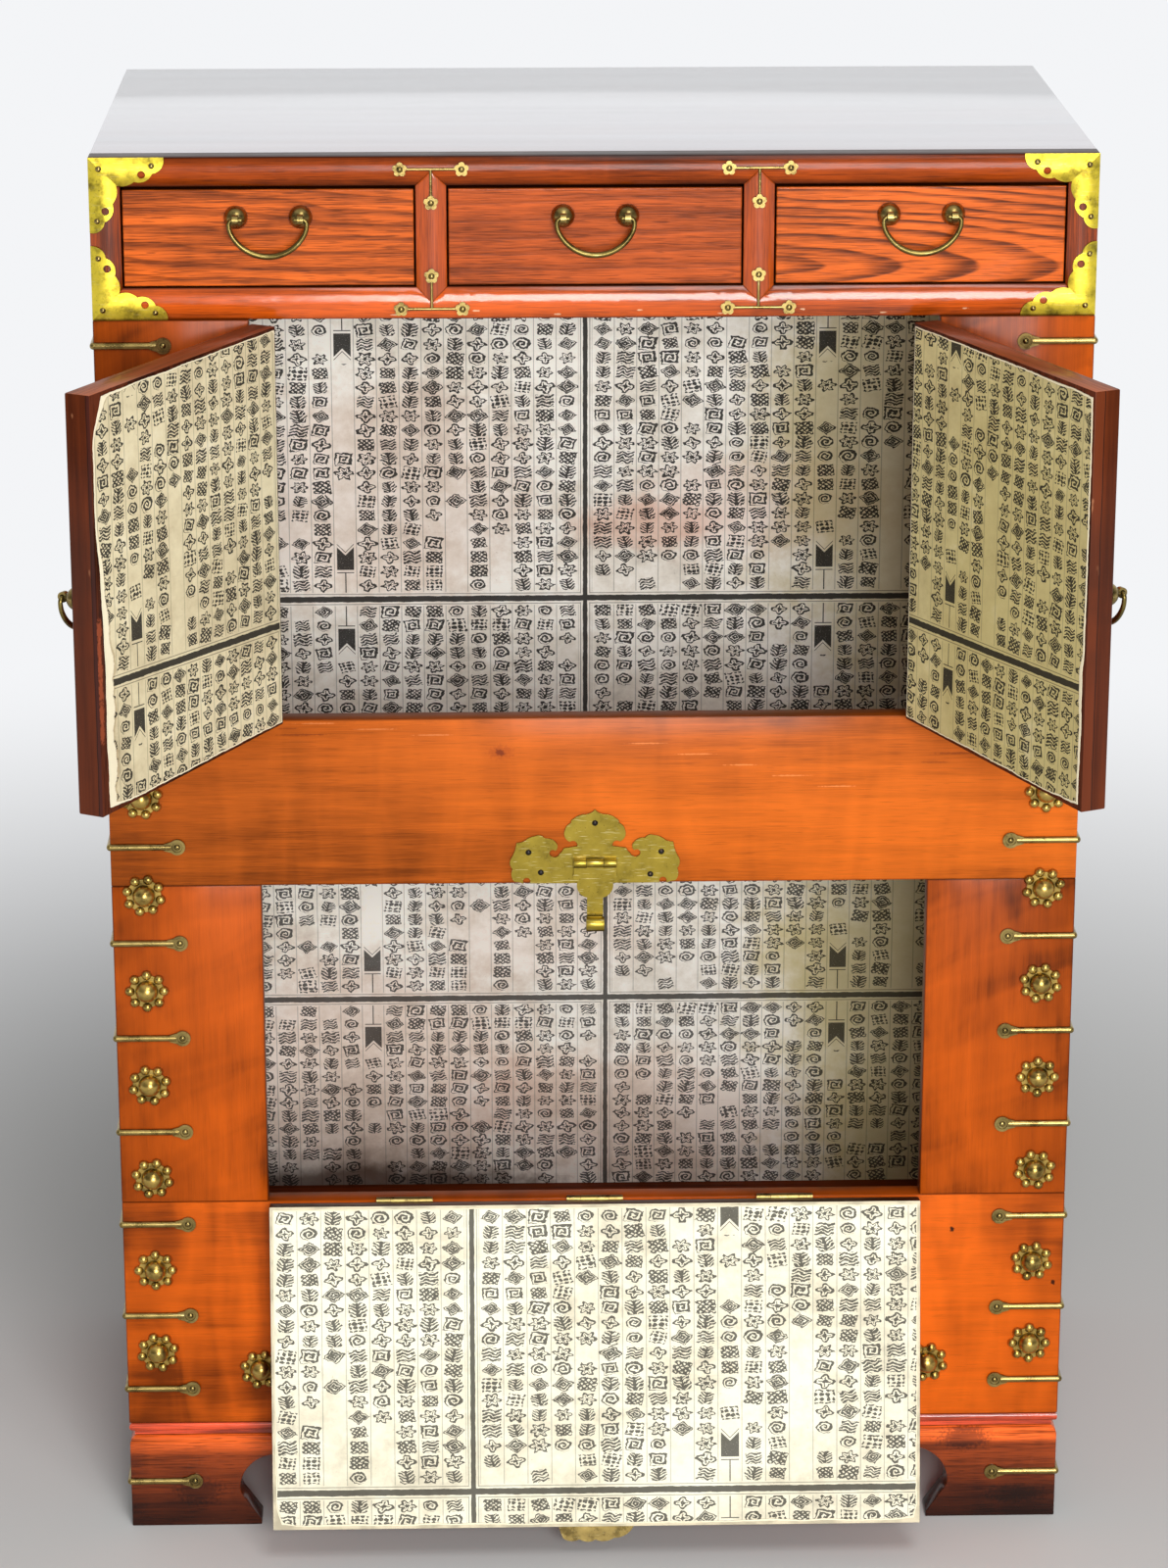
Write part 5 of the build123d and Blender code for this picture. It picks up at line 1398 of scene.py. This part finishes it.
class CHEST_OT_stage(PieceOperator):
    """Pale floor, soft lamps and the camera"""

    bl_idname = "chest.stage"
    bl_label = "Stage"

    def build(self):
        stage = settings("stage")
        self.floor()
        self.world()
        self.lamp("front_lamp", place=(0.45, -4.2, 1.45), target=(0, 0, 0.6), size=1.5, power=stage.key)
        self.lamp("high_lamp", place=(0.5, -2.5, 3.3), target=(0, 0, 0.8), size=1.3, power=stage.overhead)
        self.camera()
        bpy.context.scene.view_settings.view_transform = "Standard"

    def floor(self):
        """It is lit like any floor, and looks as bright as the room away from the chest."""
        shape = bmesh.new()
        bmesh.ops.create_circle(shape, cap_ends=True, segments=64, radius=FLOOR_RADIUS)
        mesh = bpy.data.meshes.new("floor")
        shape.to_mesh(mesh)
        shape.free()
        finish = Finish("floor_paint", {"Roughness": 0.7, "Specular IOR Level": 0.2})
        tone = tuple(settings("stage").floor)
        x, y, _ = finish.parts(finish.place())
        speck = finish.noise(finish.place(), 3.0, detail=3)
        finish.give(Base_Color=finish.mix(speck, scaled(tone, 0.985), tone))
        away = (x * x + y * y) ** 0.5
        seen = most(finish.ray("Camera"), finish.ray("Glossy"), finish.ray("Transmission"))
        bright = finish.node("ShaderNodeEmission", inputs={"Color": (0.97, 0.98, 1.0), "Strength": 0.93})
        finish.cover(seen * finish.rise(away, 0.6, 2.4), bright)
        mesh.materials.append(finish.material)
        floor = bpy.data.objects.new("floor", mesh)
        bpy.context.scene.collection.objects.link(floor)

    def world(self):
        """Bright to the camera, softer as light, and in mirrors brightest behind the chest and above."""
        world = bpy.data.worlds.new("room")
        bpy.context.scene.world = world
        world.use_nodes = True
        graph = Graph(world.node_tree)
        _, y, z = graph.parts(graph.node("ShaderNodeTexCoord", output="Generated"))
        behind = graph.rise(y, -0.4, 0.7)
        above = graph.rise(z, 0.3, 0.95) * 0.8
        mirrored = graph.spread(most(behind, above), 0.16, 0.95)
        glossy = graph.ray("Glossy")
        seen = most(graph.ray("Camera"), graph.ray("Transmission"))
        strength = mirrored * glossy + (1.0 - glossy) * settings("stage").surroundings
        strength = seen * 0.95 + (1.0 - seen) * strength
        background = world.node_tree.nodes["Background"]
        world.node_tree.links.new(strength.socket, background.inputs["Strength"])
        background.inputs["Color"].default_value = (0.98, 0.99, 1.0, 1.0)

    def lamp(self, name, place, target, size, power):
        light = bpy.data.lights.new(name, "AREA")
        light.size = size
        light.energy = power
        lamp = bpy.data.objects.new(name, light)
        lamp.location = place
        lamp.rotation_euler = (Vector(target) - Vector(place)).to_track_quat("-Z", "Y").to_euler()
        bpy.context.scene.collection.objects.link(lamp)

    def camera(self):
        lens = bpy.data.cameras.new("camera")
        lens.sensor_fit = "VERTICAL"
        lens.sensor_height = SENSOR_HEIGHT
        lens.lens = settings("stage").focal
        camera = bpy.data.objects.new("camera", lens)
        camera.location = CAMERA_PLACE
        camera.rotation_euler = (pi / 2 - CAMERA_DOWN, 0.0, -CAMERA_RIGHT)
        bpy.context.scene.collection.objects.link(camera)
        bpy.context.scene.camera = camera


OPERATORS = (
    CHEST_OT_carcass,
    CHEST_OT_inside,
    CHEST_OT_drawer_frame,
    CHEST_OT_base,
    CHEST_OT_drawers,
    CHEST_OT_doors,
    CHEST_OT_linings,
    CHEST_OT_hardware,
    CHEST_OT_stage,
)
GROUPS = {
    "wood": ChestWoodSettings,
    "brass": ChestBrassSettings,
    "paper": ChestPaperSettings,
    "stage": ChestStageSettings,
}


class CHEST_PT_panel(bpy.types.Panel):
    """Lists the chest's pieces."""

    bl_label = "Two-tier chest"
    bl_idname = "CHEST_PT_panel"
    bl_space_type = "VIEW_3D"
    bl_region_type = "UI"
    bl_category = "Chest"

    def draw(self, context):
        for operator in OPERATORS:
            self.layout.operator(operator.bl_idname)


def register():
    for cls in (*GROUPS.values(), *OPERATORS, CHEST_PT_panel):
        bpy.utils.register_class(cls)
    for name, group in GROUPS.items():
        setattr(bpy.types.Scene, "chest_" + name, PointerProperty(type=group))


def unregister():
    for name in GROUPS:
        delattr(bpy.types.Scene, "chest_" + name)
    for cls in reversed((*GROUPS.values(), *OPERATORS, CHEST_PT_panel)):
        bpy.utils.unregister_class(cls)


def main():
    register()
    for operator in OPERATORS:
        group, name = operator.bl_idname.split(".")
        getattr(getattr(bpy.ops, group), name)()


if __name__ == "__main__":
    main()
